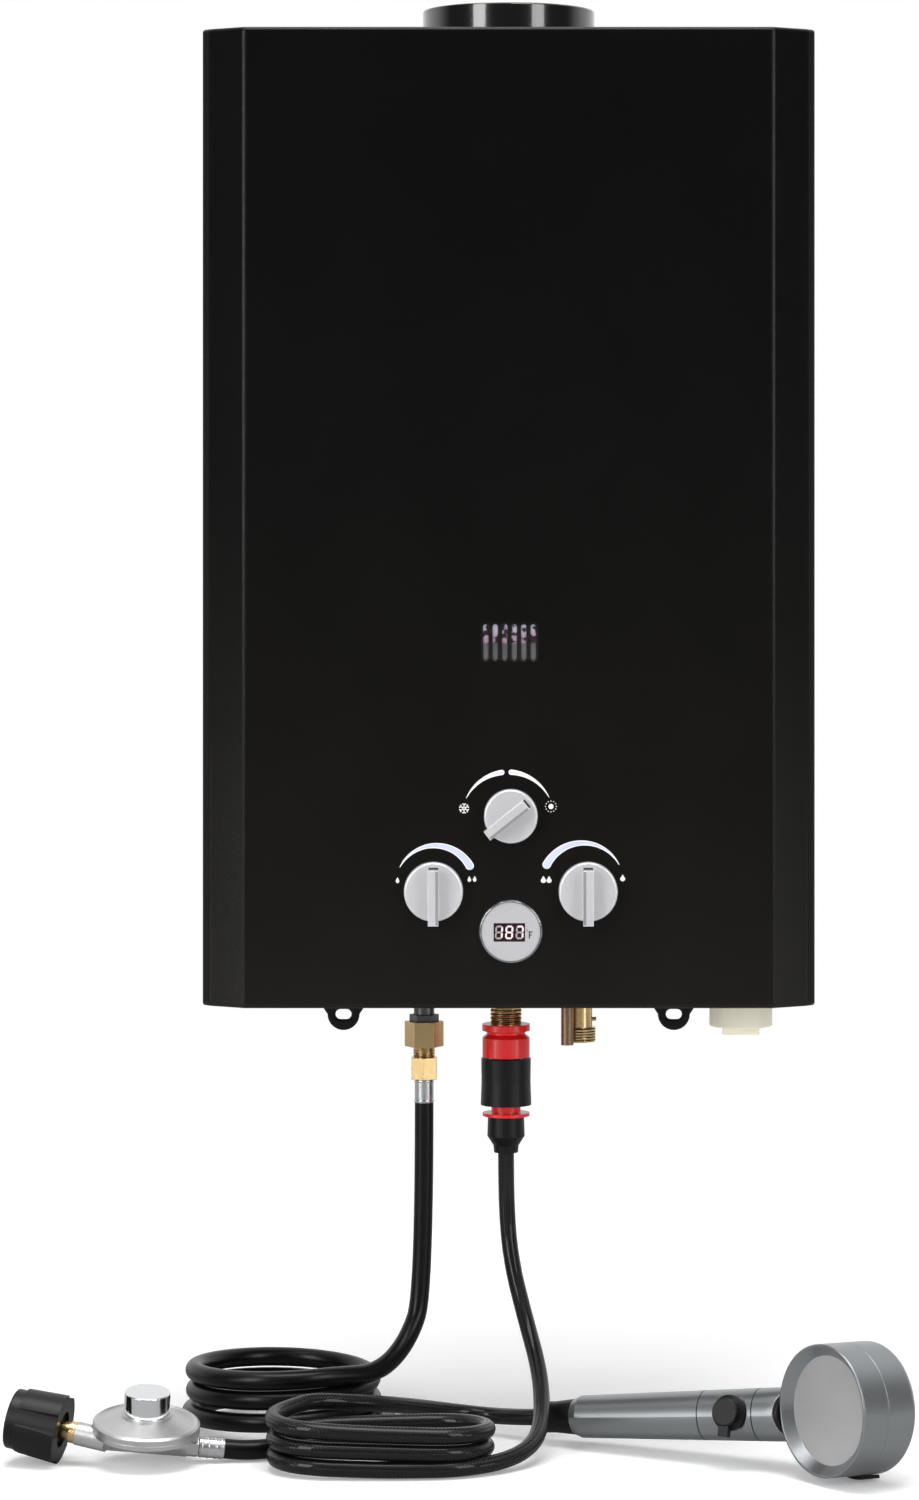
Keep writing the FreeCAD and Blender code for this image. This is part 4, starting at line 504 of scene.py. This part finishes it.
SATIN_SILVER = metal_finish(
    "satin silver", (0.76, 0.76, 0.78), 0.34, edge=0.0006, stretch=FINE_LINES, depth=0.000006,
    dark=0.96, metal=0.5,
)
DISPLAY_FACE = metal_finish(
    "display face", (0.5, 0.5, 0.52), 0.45, stretch=FINE_LINES, dark=0.96, metal=0.2,
)
GUNMETAL = coated(
    "satin grey coat", (0.3, 0.315, 0.325), 0.3, edge=0.0007, grain=2500.0, depth=0.000001,
    metal=0.88, spread=0.03, edge_light=1.5,
)
PLATE = metal_finish(
    "brushed spray plate", (0.76, 0.76, 0.76), 0.36, stretch=(60.0, 60.0, 900.0), dark=0.85,
    metal=0.8,
)
SPRING = metal_finish("spring steel", (0.5, 0.5, 0.5), 0.3)
CELL = coated("cell wrap", (0.12, 0.17, 0.32), 0.35)
BRAIDED = braid_finish()
MICA = window_finish()
PRINT_WHITE = coated("white print", (0.85, 0.85, 0.86), 0.5, edge=0.00005, spread=0.03, edge_light=1.0)
PRINT_BLUE = coated("pale blue print", (0.56, 0.6, 0.74), 0.5, edge=0.00005, spread=0.06, edge_light=1.0)
DARK_PRINT_AND_SHADE = coated("dark print and painted shade", (0.02, 0.02, 0.025), 0.5, edge=0.00005, edge_light=1.0)
DIGIT_LIT = coated("lit digit", (0.92, 0.66, 0.7), 0.4, edge=0.00005, spread=0.03, edge_light=1.0)
DIGIT_OFF = coated("unlit digit", (0.3, 0.27, 0.27), 0.4, edge=0.00005, spread=0.05, edge_light=1.0)
SCREEN = coated("dark screen", (0.02, 0.006, 0.01), 0.2, edge=0.00005, edge_light=1.0)

NODE_FINISH = {
    BLACK_COVER: "back_plate front_cover",
    GLOSS_BLACK: "cover_screws flue_collar",
    MICA: "inspection_window",
    STEEL: "draft_hood burner_bars",
    COPPER: "exchanger_shell exchanger_fins exchanger_tubes water_pipes",
    CAST_ALUMINIUM: "burner_manifold gas_valve",
    CERAMIC: "spark_electrodes",
    ZINC_STEEL: "gas_solenoid gas_hose_ferrules",
    DARK_STEEL: "gas_inlet_tube",
    BRASS: "water_valve hot_outlet_fitting cold_inlet_fitting gas_inlet_nut gas_adapter gas_hose_nut"
    " regulator_inlet season_spindle gas_spindle water_spindle",
    OLD_BRASS: "relief_tube",
    BLACK_PLASTIC: "flow_microswitch igniter_box cylinder_nut quick_collar hose_clamp_nut"
    " shower_connector shower_valve_knob shower_mode_tab",
    RED: "tap_adapter hose_coupling_core",
    RUBBER: "gas_hose_drop gas_hose_coil gas_hose_tail",
    BRAIDED: "water_hose_drop water_hose_coil water_hose_lead",
    ZINC_CAST: "regulator_body regulator_bonnet",
    CHROME: "regulator_cap display_bezel",
    SPRING: "regulator_spring",
    GUNMETAL: "shower_handle shower_head_shell shower_face_ring",
    PLATE: "shower_spray_plate",
    SATIN_SILVER: "season_knob gas_knob water_knob",
    DISPLAY_FACE: "display_module",
    CREAM: "battery_case battery_cap",
    CELL: "battery_cells",
}
for coat, names in NODE_FINISH.items():
    for name in names.split():
        nodes[name].data.materials.clear()
        nodes[name].data.materials.append(coat)


def finished(piece, body, coat):
    """The piece with its material, riding on its body."""
    piece.data.materials.clear()
    piece.data.materials.append(coat)
    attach(piece, body)
    return piece


# ---------------------------------------------------------------- hoses

GAS_DROP = [
    (-0.0538, -0.065, -0.3721), (-0.0538, -0.065, -0.493), (-0.0636, -0.0779, -0.5216),
    (-0.0816, -0.0997, -0.538), (-0.1086, -0.1187, -0.536),
]
GAS_TAIL = [
    (-0.0825, -0.108, -0.5708), (-0.0925, -0.126, -0.5708), (-0.1065, -0.141, -0.5708),
    (-0.121, -0.1515, -0.5708), (-0.1355, -0.1605, -0.5708), (-0.1491, -0.1693, -0.5708),
    (-0.1644, -0.1726, -0.5708), (-0.1743, -0.174, -0.5694),
]
WATER_DROP = [
    (-0.0017, -0.065, -0.4037), (-0.0017, -0.065, -0.438), (0.0016, -0.0704, -0.473),
    (0.0106, -0.0875, -0.506), (0.0193, -0.113, -0.533), (0.021, -0.146, -0.553),
    (0.017, -0.178, -0.565), (0.0, -0.203, -0.5706), (-0.029, -0.221, -0.5717),
    (-0.058, -0.224, -0.5717),
]
WATER_LEAD = [
    (-0.122, -0.158, -0.5433), (-0.098, -0.1495, -0.546), (-0.0745, -0.1345, -0.5503),
    (-0.0552, -0.1135, -0.5564), (-0.0348, -0.0973, -0.5623), (-0.0122, -0.0945, -0.5655),
    (0.0078, -0.1121, -0.5629), (0.0244, -0.121, -0.5609), (0.042, -0.1303, -0.5588),
]


# Each coil's middle and half widths in millimetres, and what changes along its turns: the
# place along the coil, in degrees or in turns, and the value there.
GAS_COIL, GAS_COIL_X, GAS_COIL_Y = (-143.0, -71.0), 57.7, 57.2
GAS_ANGLES = np.arange(-80.0, -1101.0, -30.0)
GAS_HEIGHT = ([-1110, -1000, -450, -52], [-570.8, -570.8, -549.6, -536.0])
GAS_WIDER = ([-1110, -830, -640, -450, -250, -52], [11.0, 0.0, 1.0, -0.6, 0.6, 0.0])
WATER_COIL = (-77.7, -194.0)
WATER_HALF_LOOP = np.array([
    (0, -30), (-20, -30), (-38, -29.2), (-55, -22.5), (-64.5, -8.5), (-64.5, 8.5), (-55, 22.5),
    (-38, 29.2), (-20, 30),
])
WATER_POINTS = 43
WATER_HEIGHT = ([0, 1.0, 2.0, 2.4], [-571.7, -561.2, -550.6, -543.5])
WATER_SPREAD = ([0, 0.5, 1.0, 1.4, 2.0, 2.4], [0, 0, -0.012, 0.008, 0.0, 0.02])
GAS_RADIUS, WATER_RADIUS = 0.006, 0.0051


def gas_turns():
    """Round turns going down clockwise, until the last one lies on the ground.

    The radius changes a little from turn to turn, and the last one runs out wider.
    """
    wider = np.interp(GAS_ANGLES, *GAS_WIDER)
    turn = np.radians(GAS_ANGLES)
    return MM * np.column_stack([
        GAS_COIL[0] + (GAS_COIL_X + wider) * np.cos(turn),
        GAS_COIL[1] + (GAS_COIL_Y + wider) * np.sin(turn),
        np.interp(GAS_ANGLES, *GAS_HEIGHT),
    ])


def water_turns():
    """Long turns going up clockwise: the same loop of points, a hose higher each time."""
    loop = np.vstack([WATER_HALF_LOOP, -WATER_HALF_LOOP])
    k = np.arange(WATER_POINTS)
    turn = k / len(loop)
    spread = 1 + np.interp(turn, *WATER_SPREAD)
    seen_from_above = loop[k % len(loop)] * spread[:, None] + WATER_COIL
    return MM * np.column_stack([seen_from_above, np.interp(turn, *WATER_HEIGHT)])


gas_line = spline_line(np.vstack([GAS_DROP, gas_turns(), GAS_TAIL]))
gas_hose = hose("gas_hose", gas_line, GAS_RADIUS)
water_line = spline_line(np.vstack([WATER_DROP, water_turns(), WATER_LEAD]))
water_hose = hose("shower_hose", water_line, WATER_RADIUS)
finished(gas_hose, "heater", RUBBER)
finished(water_hose, "heater", BRAIDED)
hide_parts("gas_hose_drop", "gas_hose_coil", "gas_hose_tail")
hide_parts("water_hose_drop", "water_hose_coil", "water_hose_lead")


# ---------------------------------------------------------------- threads and seams

# Where the fittings' axes cross height 0, and the frames of the regulator's hose port and
# of the shower's handle: an origin and three axes, of which the last runs along the piece.
OUTLET, GAS_PORT, INLET = (-1.7, -65.0, 0.0), (-53.8, -65.0, 0.0), (44.5, -65.0, 0.0)
PORT = np.array([-174.3, -174.0, -569.4])
PORT_AXES = np.array([
    (0.12754, -0.97847, -0.16228), (0.1346, -0.14502, 0.98023), (-0.98266, -0.14686, 0.1132),
])
SHOWER = np.array([42.0, -130.3, -558.8])
SHOWER_AXES = np.array([
    (-0.47702, -0.8715, 0.11378), (0.03858, -0.1501, -0.98792), (0.87805, -0.46687, 0.10522),
])
HANDLE_LENGTH, HEAD_SHIFT, HEAD_RADIUS = 195.6, -3.32, 39.4
HEAD_LEAN = math.radians(25.39)
# The handle's two heights where its taper starts and ends, and its radius at each.
HANDLE_TAPER = ([5, HANDLE_LENGTH - 56.7], [12.95, 16.2])
NECK_INSIDE, NECK_OUTSIDE = 12.2, 15.5
NECK_NEAR, NECK_FAR = 0.25, 1.9
# How deep ridges and bands are sunk in what carries them, and a band's softened corner:
# the share of its height where it starts, and its width.
SUNK = 0.3
SHOULDER, SOFTENED = 0.6, 0.2


def ridges(radius, low, high, pitch, depth):
    """Outline of a threaded stretch: flanks up and down, one crest in each pitch."""
    count = 2 * round((high - low) / pitch) + 1
    crests = radius + depth * (np.arange(count) % 2)
    radii = np.append(crests, [radius - SUNK, radius - SUNK])
    return np.column_stack([radii, np.append(np.linspace(low, high, count), [high, low])])


def band(radius, middle, width, proud):
    """Outline of a raised band: a low step with softened corners."""
    low, high = middle - width / 2, middle + width / 2
    return [
        (radius - SUNK, low), (radius + proud * SHOULDER, low), (radius + proud, low + SOFTENED),
        (radius + proud, high - SOFTENED), (radius + proud * SHOULDER, high), (radius - SUNK, high),
    ]


def handle_radius(height):
    return np.interp(height, *HANDLE_TAPER)


def shade_sleeve():
    """A dark sleeve in the gap between the handle and the head, painted shade where the gap lies in
    shadow.

    Each of its rims runs round the handle's axis and ends on the head's cylinder, made
    larger by the gap. How far back from the head's middle that is comes from a quadratic,
    because the cylinder's axis leans towards the handle's.
    """
    h, k = math.cos(HEAD_LEAN), math.sin(HEAD_LEAN)
    angle = np.linspace(0, 2 * np.pi, 72, endpoint=False)
    rims = (
        (NECK_INSIDE, NECK_NEAR), (NECK_OUTSIDE, NECK_NEAR), (NECK_OUTSIDE, NECK_FAR),
        (NECK_INSIDE, NECK_FAR),
    )
    rows = []
    for r, gap in rims:
        x, y = r * np.cos(angle), r * np.sin(angle)
        a, b = 1 - k * k, 2 * h * k * x
        c = x * x * (1 - h * h) + (y - HEAD_SHIFT) ** 2 - (HEAD_RADIUS + gap) ** 2
        back = (-b - np.sqrt(b * b - 4 * a * c)) / (2 * a)
        rows.append(SHOWER + np.stack([x, y, HANDLE_LENGTH + back], -1) @ SHOWER_AXES)
    return surface("shower_neck_painted_shade", np.array(rows), ring=True, loop=True)


# Name, axis, root radius, lowest and highest point, pitch, and depth of each thread.
threads = [
    ("outlet_thread", OUTLET, 9.5, -321.9, -305.1, 2.4, 0.7),
    ("adapter_thread", GAS_PORT, 6.6, -343.1, -336.5, 1.65, 0.5),
    ("inlet_thread", INLET, 10.45, -333.0, -324.2, 1.75, 0.5),
]
for name, origin, radius, low, high, pitch, depth in threads:
    thread = turned(name, ridges(radius, low, high, pitch, depth), origin)
    finished(thread, "heater", BRASS)

gas_bands = [band(5.95, middle, 1.6, 0.35) for middle in (-370.9, -358.4)]
port_bands = [band(6.3, middle, 1.5, 0.3) for middle in (1.4, 5.2, 10.0, 14.0)]
handle_seams = [band(handle_radius(middle), middle, 0.7, 0.05) for middle in (90.4, 127.5)]
banded = [
    ("gas_ferrule_bands", gas_bands, GAS_PORT, AXES, ZINC_STEEL, "zinc_steel"),
    ("port_ferrule_bands", port_bands, PORT, PORT_AXES, ZINC_STEEL, "zinc_steel"),
    ("shower_handle_seams", handle_seams, SHOWER, SHOWER_AXES, BLACK_PLASTIC, "gunmetal"),
]
for name, outlines, origin, axes, coat, slot in banded:
    whole = joined(name, *[turned("band", outline, origin, axes) for outline in outlines])
    finished(whole, "heater", coat)
finished(shade_sleeve(), "heater", BLACK_PLASTIC)


# ---------------------------------------------------------------- flat shapes


def flat(name, x, z, y, ring=False):
    """A flat skin that faces the front, over grids of x and z."""
    grid = np.stack([x, np.full(x.shape, y), z], -1)
    return surface(name, grid, ring=ring, facing=(0, -1, 0), weld=False)


def patch(name, x0, x1, z0, z1, y, centre=(0, 0), turn=0.0):
    """A flat rectangle, turned about the centre."""
    x, z = np.meshgrid([x0, x1], [z0, z1], indexing="ij")
    c, s = math.cos(turn), math.sin(turn)
    return flat(name, centre[0] + c * x - s * z, centre[1] + s * x + c * z, y)


def ring_patch(name, centre, inner, outer, y, steps=96):
    """A flat ring."""
    angle = np.linspace(0, 2 * np.pi, steps, endpoint=False)
    radius = np.array([[inner], [outer]])
    x, z = centre[0] + radius * np.cos(angle), centre[1] + radius * np.sin(angle)
    return flat(name, x, z, y, ring=True)


def arc_band(name, centre, radius, thin, fat, width, y, inset=0.0):
    """A band along an arc that swells from its thin end to a round fat end.

    The angle runs from thin to fat while the band widens from a small share of its width,
    and past the fat end it closes as a circle does.
    """
    least = 0.06
    cap = math.degrees(width / 2 / radius) * (1 if fat > thin else -1)
    body = np.linspace(0, 1, 60)
    past = np.sin(np.linspace(0, np.pi / 2, 14))[1:]
    angle = np.radians(np.concatenate([thin + (fat - thin) * body, fat + cap * past]))[:, None]
    share = np.concatenate([least + (1 - least) * body**0.8, np.sqrt(1 - past**2)])
    half = np.maximum(width / 2 * share - inset, 0)
    r = radius + half[:, None] * np.linspace(-1, 1, 7)
    return flat(name, centre[0] + r * np.cos(angle), centre[1] + r * np.sin(angle), y)


def blob(name, centre, shape, y, steps=48):
    """A flat patch: shape(angle) gives its x and z on the rim, filled from the middle."""
    x, z = shape(np.linspace(0, 2 * np.pi, steps, endpoint=False))
    part = np.linspace(0.02, 1, 4)[:, None]
    return flat(name, centre[0] + part * x, centre[1] + part * z, y, ring=True)


def disc(radius):
    """The rim of a circle."""
    return lambda a: (radius * np.cos(a), radius * np.sin(a))


def bar(length, width, turn, out=0.0):
    """The rim of a round-ended bar, its middle pushed out along its own direction."""
    def shape(a):
        x = np.clip(np.cos(a) * 4, -1, 1) * (length / 2 - width / 2) + np.cos(a) * width / 2 + out
        z = np.sin(a) * width / 2
        c, s = math.cos(turn), math.sin(turn)
        return c * x - s * z, s * x + c * z
    return shape


def drop_shape(width, height):
    """The rim of a drop: a circle whose top is drawn up to a point."""
    def shape(a):
        up = np.sin(a)
        above = np.clip(up, 0, 1)
        pinch = 1 - 0.9 * above**1.2
        return width / 2 * np.cos(a) * pinch**0.5, height * (0.38 * up + 0.24 * above**3)
    return shape


def around(centre, radius, turn):
    """The point at the radius and angle from the centre."""
    return centre[0] + radius * math.cos(turn), centre[1] + radius * math.sin(turn)


def print_on(piece, coat):
    return finished(piece, "heater", coat)


# ---------------------------------------------------------------- front printing

PRINT_Y = FRONT - 0.06
TINT_Y, TWIG_Y = PRINT_Y - 0.03, PRINT_Y - 0.01
SEASON, GAS, WATER = (-0.52, -185.6), (-45.41, -226.9), (45.81, -226.1)
SNOWFLAKE, SUN = (-27.55, -179.5), (26.07, -178.3)
FLAMES = ((-68.6, -224.2), (-24.3, -223.5), (-21.0, -223.4))
DROPS = ((21.4, -223.9), (24.9, -223.9), (70.3, -222.9))

# Name, centre, radius, angles of the thin and the fat end, width, and the tint's inset.
arcs = [
    ("season_arc_cold", SEASON, 28.5, 154.4, 97.6, 3.3, 1.1),
    ("season_arc_warm", SEASON, 28.5, 26.7, 85.8, 3.3, 1.1),
    ("gas_arc", GAS, 24.43, 153.1, 29.5, 5.2, 0.55),
    ("water_arc", WATER, 25.3, 28.0, 152.0, 5.2, 0.55),
]
for name, centre, radius, thin, fat, width, inset in arcs:
    print_on(arc_band(name, centre, radius, thin, fat, width, PRINT_Y), PRINT_WHITE)
    tint = arc_band(name + "_tint", centre, radius, thin, fat, width, TINT_Y, inset)
    print_on(tint, PRINT_BLUE)


def snowflake():
    """Three crossed arms, with two short twigs near each of their six ends."""
    turns = [math.radians(30 + 60 * k) for k in range(6)]
    pieces = [blob("arm", SNOWFLAKE, bar(6.0, 0.75, turn), PRINT_Y) for turn in turns[:3]]
    for turn in turns:
        for lean in (-1, 1):
            twig = bar(1.7, 0.6, turn + lean * math.radians(55), 0.5)
            pieces.append(blob("twig", around(SNOWFLAKE, 2.15, turn), twig, TWIG_Y))
    return joined("snowflake", *pieces)


def sun():
    """A disc with twelve dots round it."""
    pieces = [blob("disc", SUN, disc(1.6), PRINT_Y)]
    for k in range(12):
        pieces.append(blob("dot", around(SUN, 3.35, math.radians(30 * k)), disc(0.33), PRINT_Y, 14))
    return joined("sun", *pieces)


print_on(snowflake(), PRINT_WHITE)
print_on(sun(), PRINT_WHITE)
for name, places, size in (("flames", FLAMES, (2.2, 3.6)), ("drops", DROPS, (3.2, 4.2))):
    icons = [blob(name, place, drop_shape(*size), PRINT_Y) for place in places]
    print_on(joined(name, *icons), PRINT_WHITE)


# ---------------------------------------------------------------- display

SCREEN_Y = FRONT - 2.46
DIGIT_Y = SCREEN_Y - 0.05
BEZEL_Y = FRONT - 3.04
DISPLAY = (1.3, -255.4)
DIGIT_Z = -255.8
DIGIT_W, DIGIT_H, STROKE, DIGIT_LEAN = 3.7, 8.4, 1.15, 0.06
END = DIGIT_H / 2 - STROKE / 2
SIDE, QUARTER = DIGIT_W / 2, DIGIT_H / 4 - 0.3
# Each segment's middle from the digit's, and whether it stands upright.
SEGMENTS = {
    "a": (0, END, False), "g": (0, 0, False), "d": (0, -END, False),
    "b": (SIDE, QUARTER, True), "c": (SIDE, -QUARTER, True),
    "f": (-SIDE, QUARTER, True), "e": (-SIDE, -QUARTER, True),
}
# Each digit's middle, and the segments that are lit.
DIGITS = ((-6.0, "bc"), (0.35, "abcdefg"), (6.8, "abc"))


def segment(x, z, upright):
    """One digit segment: a long six-sided bar with pointed ends, leaning with its digit."""
    length = DIGIT_H / 2 - 0.9 if upright else DIGIT_W - 0.1
    along = np.array([-length / 2, -length / 2 + STROKE / 2, length / 2 - STROKE / 2, length / 2])
    half = np.array([0.04, 1, 1, 0.04]) * STROKE / 2
    a = along[:, None] * np.ones(2)
    b = half[:, None] * np.array([-1, 1])
    across, up = (b, a) if upright else (a, b)
    return flat("segment", x + across + DIGIT_LEAN * up, z + up, DIGIT_Y)


print_on(patch("screen", -9.3, 10.1, -261.5, -250.1, SCREEN_Y), SCREEN)
lit, unlit = [], []
for middle, shown in DIGITS:
    for key, (x, z, upright) in SEGMENTS.items():
        one = segment(middle + x + DIGIT_LEAN * z, DIGIT_Z + z, upright)
        (lit if key in shown else unlit).append(one)
print_on(joined("digits_lit", *lit), DIGIT_LIT)
print_on(joined("digits_unlit", *unlit), DIGIT_OFF)
letter = [
    patch("stem", 12.4, 13.1, -259.6, -255.1, SCREEN_Y),
    patch("top", 12.4, 14.6, -255.85, -255.1, SCREEN_Y),
    patch("arm", 12.4, 14.2, -257.7, -257.0, SCREEN_Y),
    ring_patch("degree", (11.6, -254.7), 0.25, 0.5, SCREEN_Y, 20),
]
print_on(joined("degrees_fahrenheit", *letter), DARK_PRINT_AND_SHADE)


# ---------------------------------------------------------------- knobs and bezel

DISC_Y = FRONT - 8.85
GRIP_Y = FRONT - 17.85
NOTCH_HALF, NOTCH_FROM, NOTCH_TO = 3.0, 0.5, 1.7
GRIP_SHADE = coated(
    "shaded side of the grip", (0.24, 0.24, 0.25), 0.45, edge=0.00005, edge_light=1.0,
)

# Name, centre, turn, and the sides and ends on the grip of the strip of painted shade.
knobs = [
    ("season", (1.3, -184.0), math.radians(-51.6), 1.5, 3.15, -17.9, 11.6),
    ("gas", (-46.35, -230.5), 0.0, 1.4, 3.15, -19.6, 13.3),
    ("water", (48.95, -230.5), 0.0, -3.15, -1.4, -19.6, 13.3),
]
for name, centre, turn, x0, x1, z0, z1 in knobs:
    # A grey strip on the grip's face, painted shade standing in for its shaded side.
    side = patch(name + "_grip_painted_shade", x0, x1, z0, z1, GRIP_Y, centre, turn)
    finished(side, name + "_control", GRIP_SHADE)
    # A flat dark patch past the grip's end, painted shade in its notch.
    notch = patch(
        name + "_grip_notch_shade", -NOTCH_HALF, NOTCH_HALF, z1 + NOTCH_FROM, z1 + NOTCH_TO, DISC_Y,
        centre, turn,
    )
    finished(notch, name + "_control", DARK_PRINT_AND_SHADE)
print_on(ring_patch("bezel_inner_line", DISPLAY, 18.25, 18.6, BEZEL_Y), DARK_PRINT_AND_SHADE)


# ---------------------------------------------------------------- stage

WHITE = (1, 1, 1, 1)
# What rough surfaces get from the surroundings, what mirrors see in front of the part,
# and how much the floor is lifted towards white for the camera.
AMBIENT, MIRRORED_FRONT, FLOOR_LIFT = 0.32, 0.08, 0.2
FLOOR_RADIUS, FLOOR_MIDDLE, FLOOR_DROP = 2600, -100, 0.15
# Distances between which the floor fades to white, and how dull mirrors see it.
FLOOR_FADE = (0.75, 1.5)
FLOOR_DULL, FLOOR_DULLED = 0.12, 0.6


def glow(tree, strength):
    return put(tree, "Emission", {"Color": WHITE, "Strength": strength}).outputs[0]


def blend_shaders(tree, factor, a, b):
    """Shader a where the factor is 0, and shader b where it is 1."""
    return put(tree, "MixShader", {0: factor, 1: a, 2: b}).outputs[0]


def make_floor():
    """A pale round floor that fades to white away from the part."""
    part = np.linspace(0, 1, 12)[:, None]
    angle = np.linspace(0, 2 * np.pi, 64, endpoint=False)
    x, y = FLOOR_RADIUS * part * np.cos(angle), FLOOR_MIDDLE + FLOOR_RADIUS * part * np.sin(angle)
    grid = np.stack([x, y, np.full(x.shape, FLOOR - FLOOR_DROP)], -1)
    floor = surface("floor", grid, ring=True, facing=(0, 0, 1))
    made, tree, shader = finish_start("pale floor")
    set_values(shader, Base_Color=rgb(0.93, 0.93, 0.93), Roughness=0.75, Specular_IOR_Level=0.1)
    place = put(tree, "TexCoord").outputs["Object"]
    away = put(tree, "VectorMath", {0: place}, operation="LENGTH").outputs["Value"]
    path = put(tree, "LightPath").outputs
    seen = maths(tree, "ADD", path["Is Camera Ray"], path["Is Transmission Ray"])
    lift = glow(tree, maths(tree, "MULTIPLY", seen, FLOOR_LIFT))
    lit = tree.nodes["Principled BSDF"].outputs[0]
    near = put(tree, "AddShader", {0: lit, 1: lift}).outputs[0]
    far = ramp(tree, away, *FLOOR_FADE)
    fade = maths(tree, "MULTIPLY", far, maths(tree, "MINIMUM", seen, 1.0))
    faded = blend_shaders(tree, fade, near, glow(tree, 1.0))
    mirrored = maths(tree, "MULTIPLY", path["Is Glossy Ray"], FLOOR_DULLED)
    whole = blend_shaders(tree, mirrored, faded, glow(tree, FLOOR_DULL))
    tree.links.new(whole, tree.nodes["Material Output"].inputs["Surface"])
    floor.data.materials.append(made)


def make_world():
    """Soft studio surroundings: white to the camera, and to mirrors white behind the part."""
    world = bpy.data.worlds.new("studio")
    bpy.context.scene.world = world
    world.use_nodes = True
    tree = world.node_tree
    away = put(tree, "SeparateXYZ", {0: put(tree, "TexCoord").outputs["Generated"]})
    back = ramp(tree, away.outputs[1], -0.2, 0.45, 0.0, 0.95)
    up = ramp(tree, away.outputs[2], 0.5, 0.95, 0.0, 0.9)
    level = maths(tree, "MAXIMUM", maths(tree, "MAXIMUM", back, up), MIRRORED_FRONT)
    path = put(tree, "LightPath").outputs
    direct = maths(tree, "ADD", path["Is Camera Ray"], path["Is Transmission Ray"])
    white = maths(tree, "MINIMUM", direct, 1.0)
    mirror = maths(tree, "ADD", maths(tree, "MULTIPLY", level, path["Is Glossy Ray"]), white)
    seen = maths(tree, "MINIMUM", maths(tree, "ADD", path["Is Glossy Ray"], white), 1.0)
    plain = maths(tree, "MULTIPLY", maths(tree, "SUBTRACT", 1.0, seen), AMBIENT)
    strength = maths(tree, "MINIMUM", maths(tree, "ADD", mirror, plain), 1.0)
    tree.links.new(strength, tree.nodes["Background"].inputs["Strength"])
    tree.nodes["Background"].inputs["Color"].default_value = WHITE


def add_lamp(name, place, target, size, power):
    """A rectangular lamp at the place, facing the target."""
    light = bpy.data.lights.new(name, "AREA")
    light.shape = "RECTANGLE"
    light.size, light.size_y = size
    light.energy = power
    lamp = bpy.data.objects.new(name, light)
    bpy.context.scene.collection.objects.link(lamp)
    place, target = np.array(place, float), np.array(target, float)
    lamp.rotation_euler = Vector(target - place).to_track_quat("-Z", "Y").to_euler()
    lamp.location = place


# Name, place, target, width and height, and power in watts.
lamps = [
    ("left_softbox", (-1.9, -2.4, 0.7), (0, 0, -0.15), (0.9, 1.8), 42),
    ("right_softbox", (1.9, -2.4, 0.7), (0, 0, -0.15), (0.9, 1.8), 30),
    ("left_card", (-1.2, -0.9, -0.45), (0, -0.1, -0.5), (0.3, 0.5), 1.6),
    ("right_card", (1.2, -0.9, -0.45), (0, -0.1, -0.5), (0.3, 0.5), 1.2),
    ("top_softbox", (0, -0.6, 2.3), (0, -0.1, -0.3), (2.0, 1.6), 62),
]
make_floor()
make_world()
for lamp in lamps:
    add_lamp(*lamp)

CAMERA_DISTANCE, CAMERA_REACH = 2.865, 60
CAMERA_LENS, CAMERA_SHIFT = 105.6, (-0.0328, -0.155)
view = bpy.data.cameras.new("camera")
view.lens = CAMERA_LENS
view.shift_x, view.shift_y = CAMERA_SHIFT
view.clip_end = CAMERA_REACH
camera = bpy.data.objects.new("camera", view)
bpy.context.scene.collection.objects.link(camera)
camera.location = (0, -CAMERA_DISTANCE, 0)
camera.rotation_euler = (math.radians(90), 0, 0)
bpy.context.scene.camera = camera
bpy.context.scene.view_settings.view_transform = "Standard"
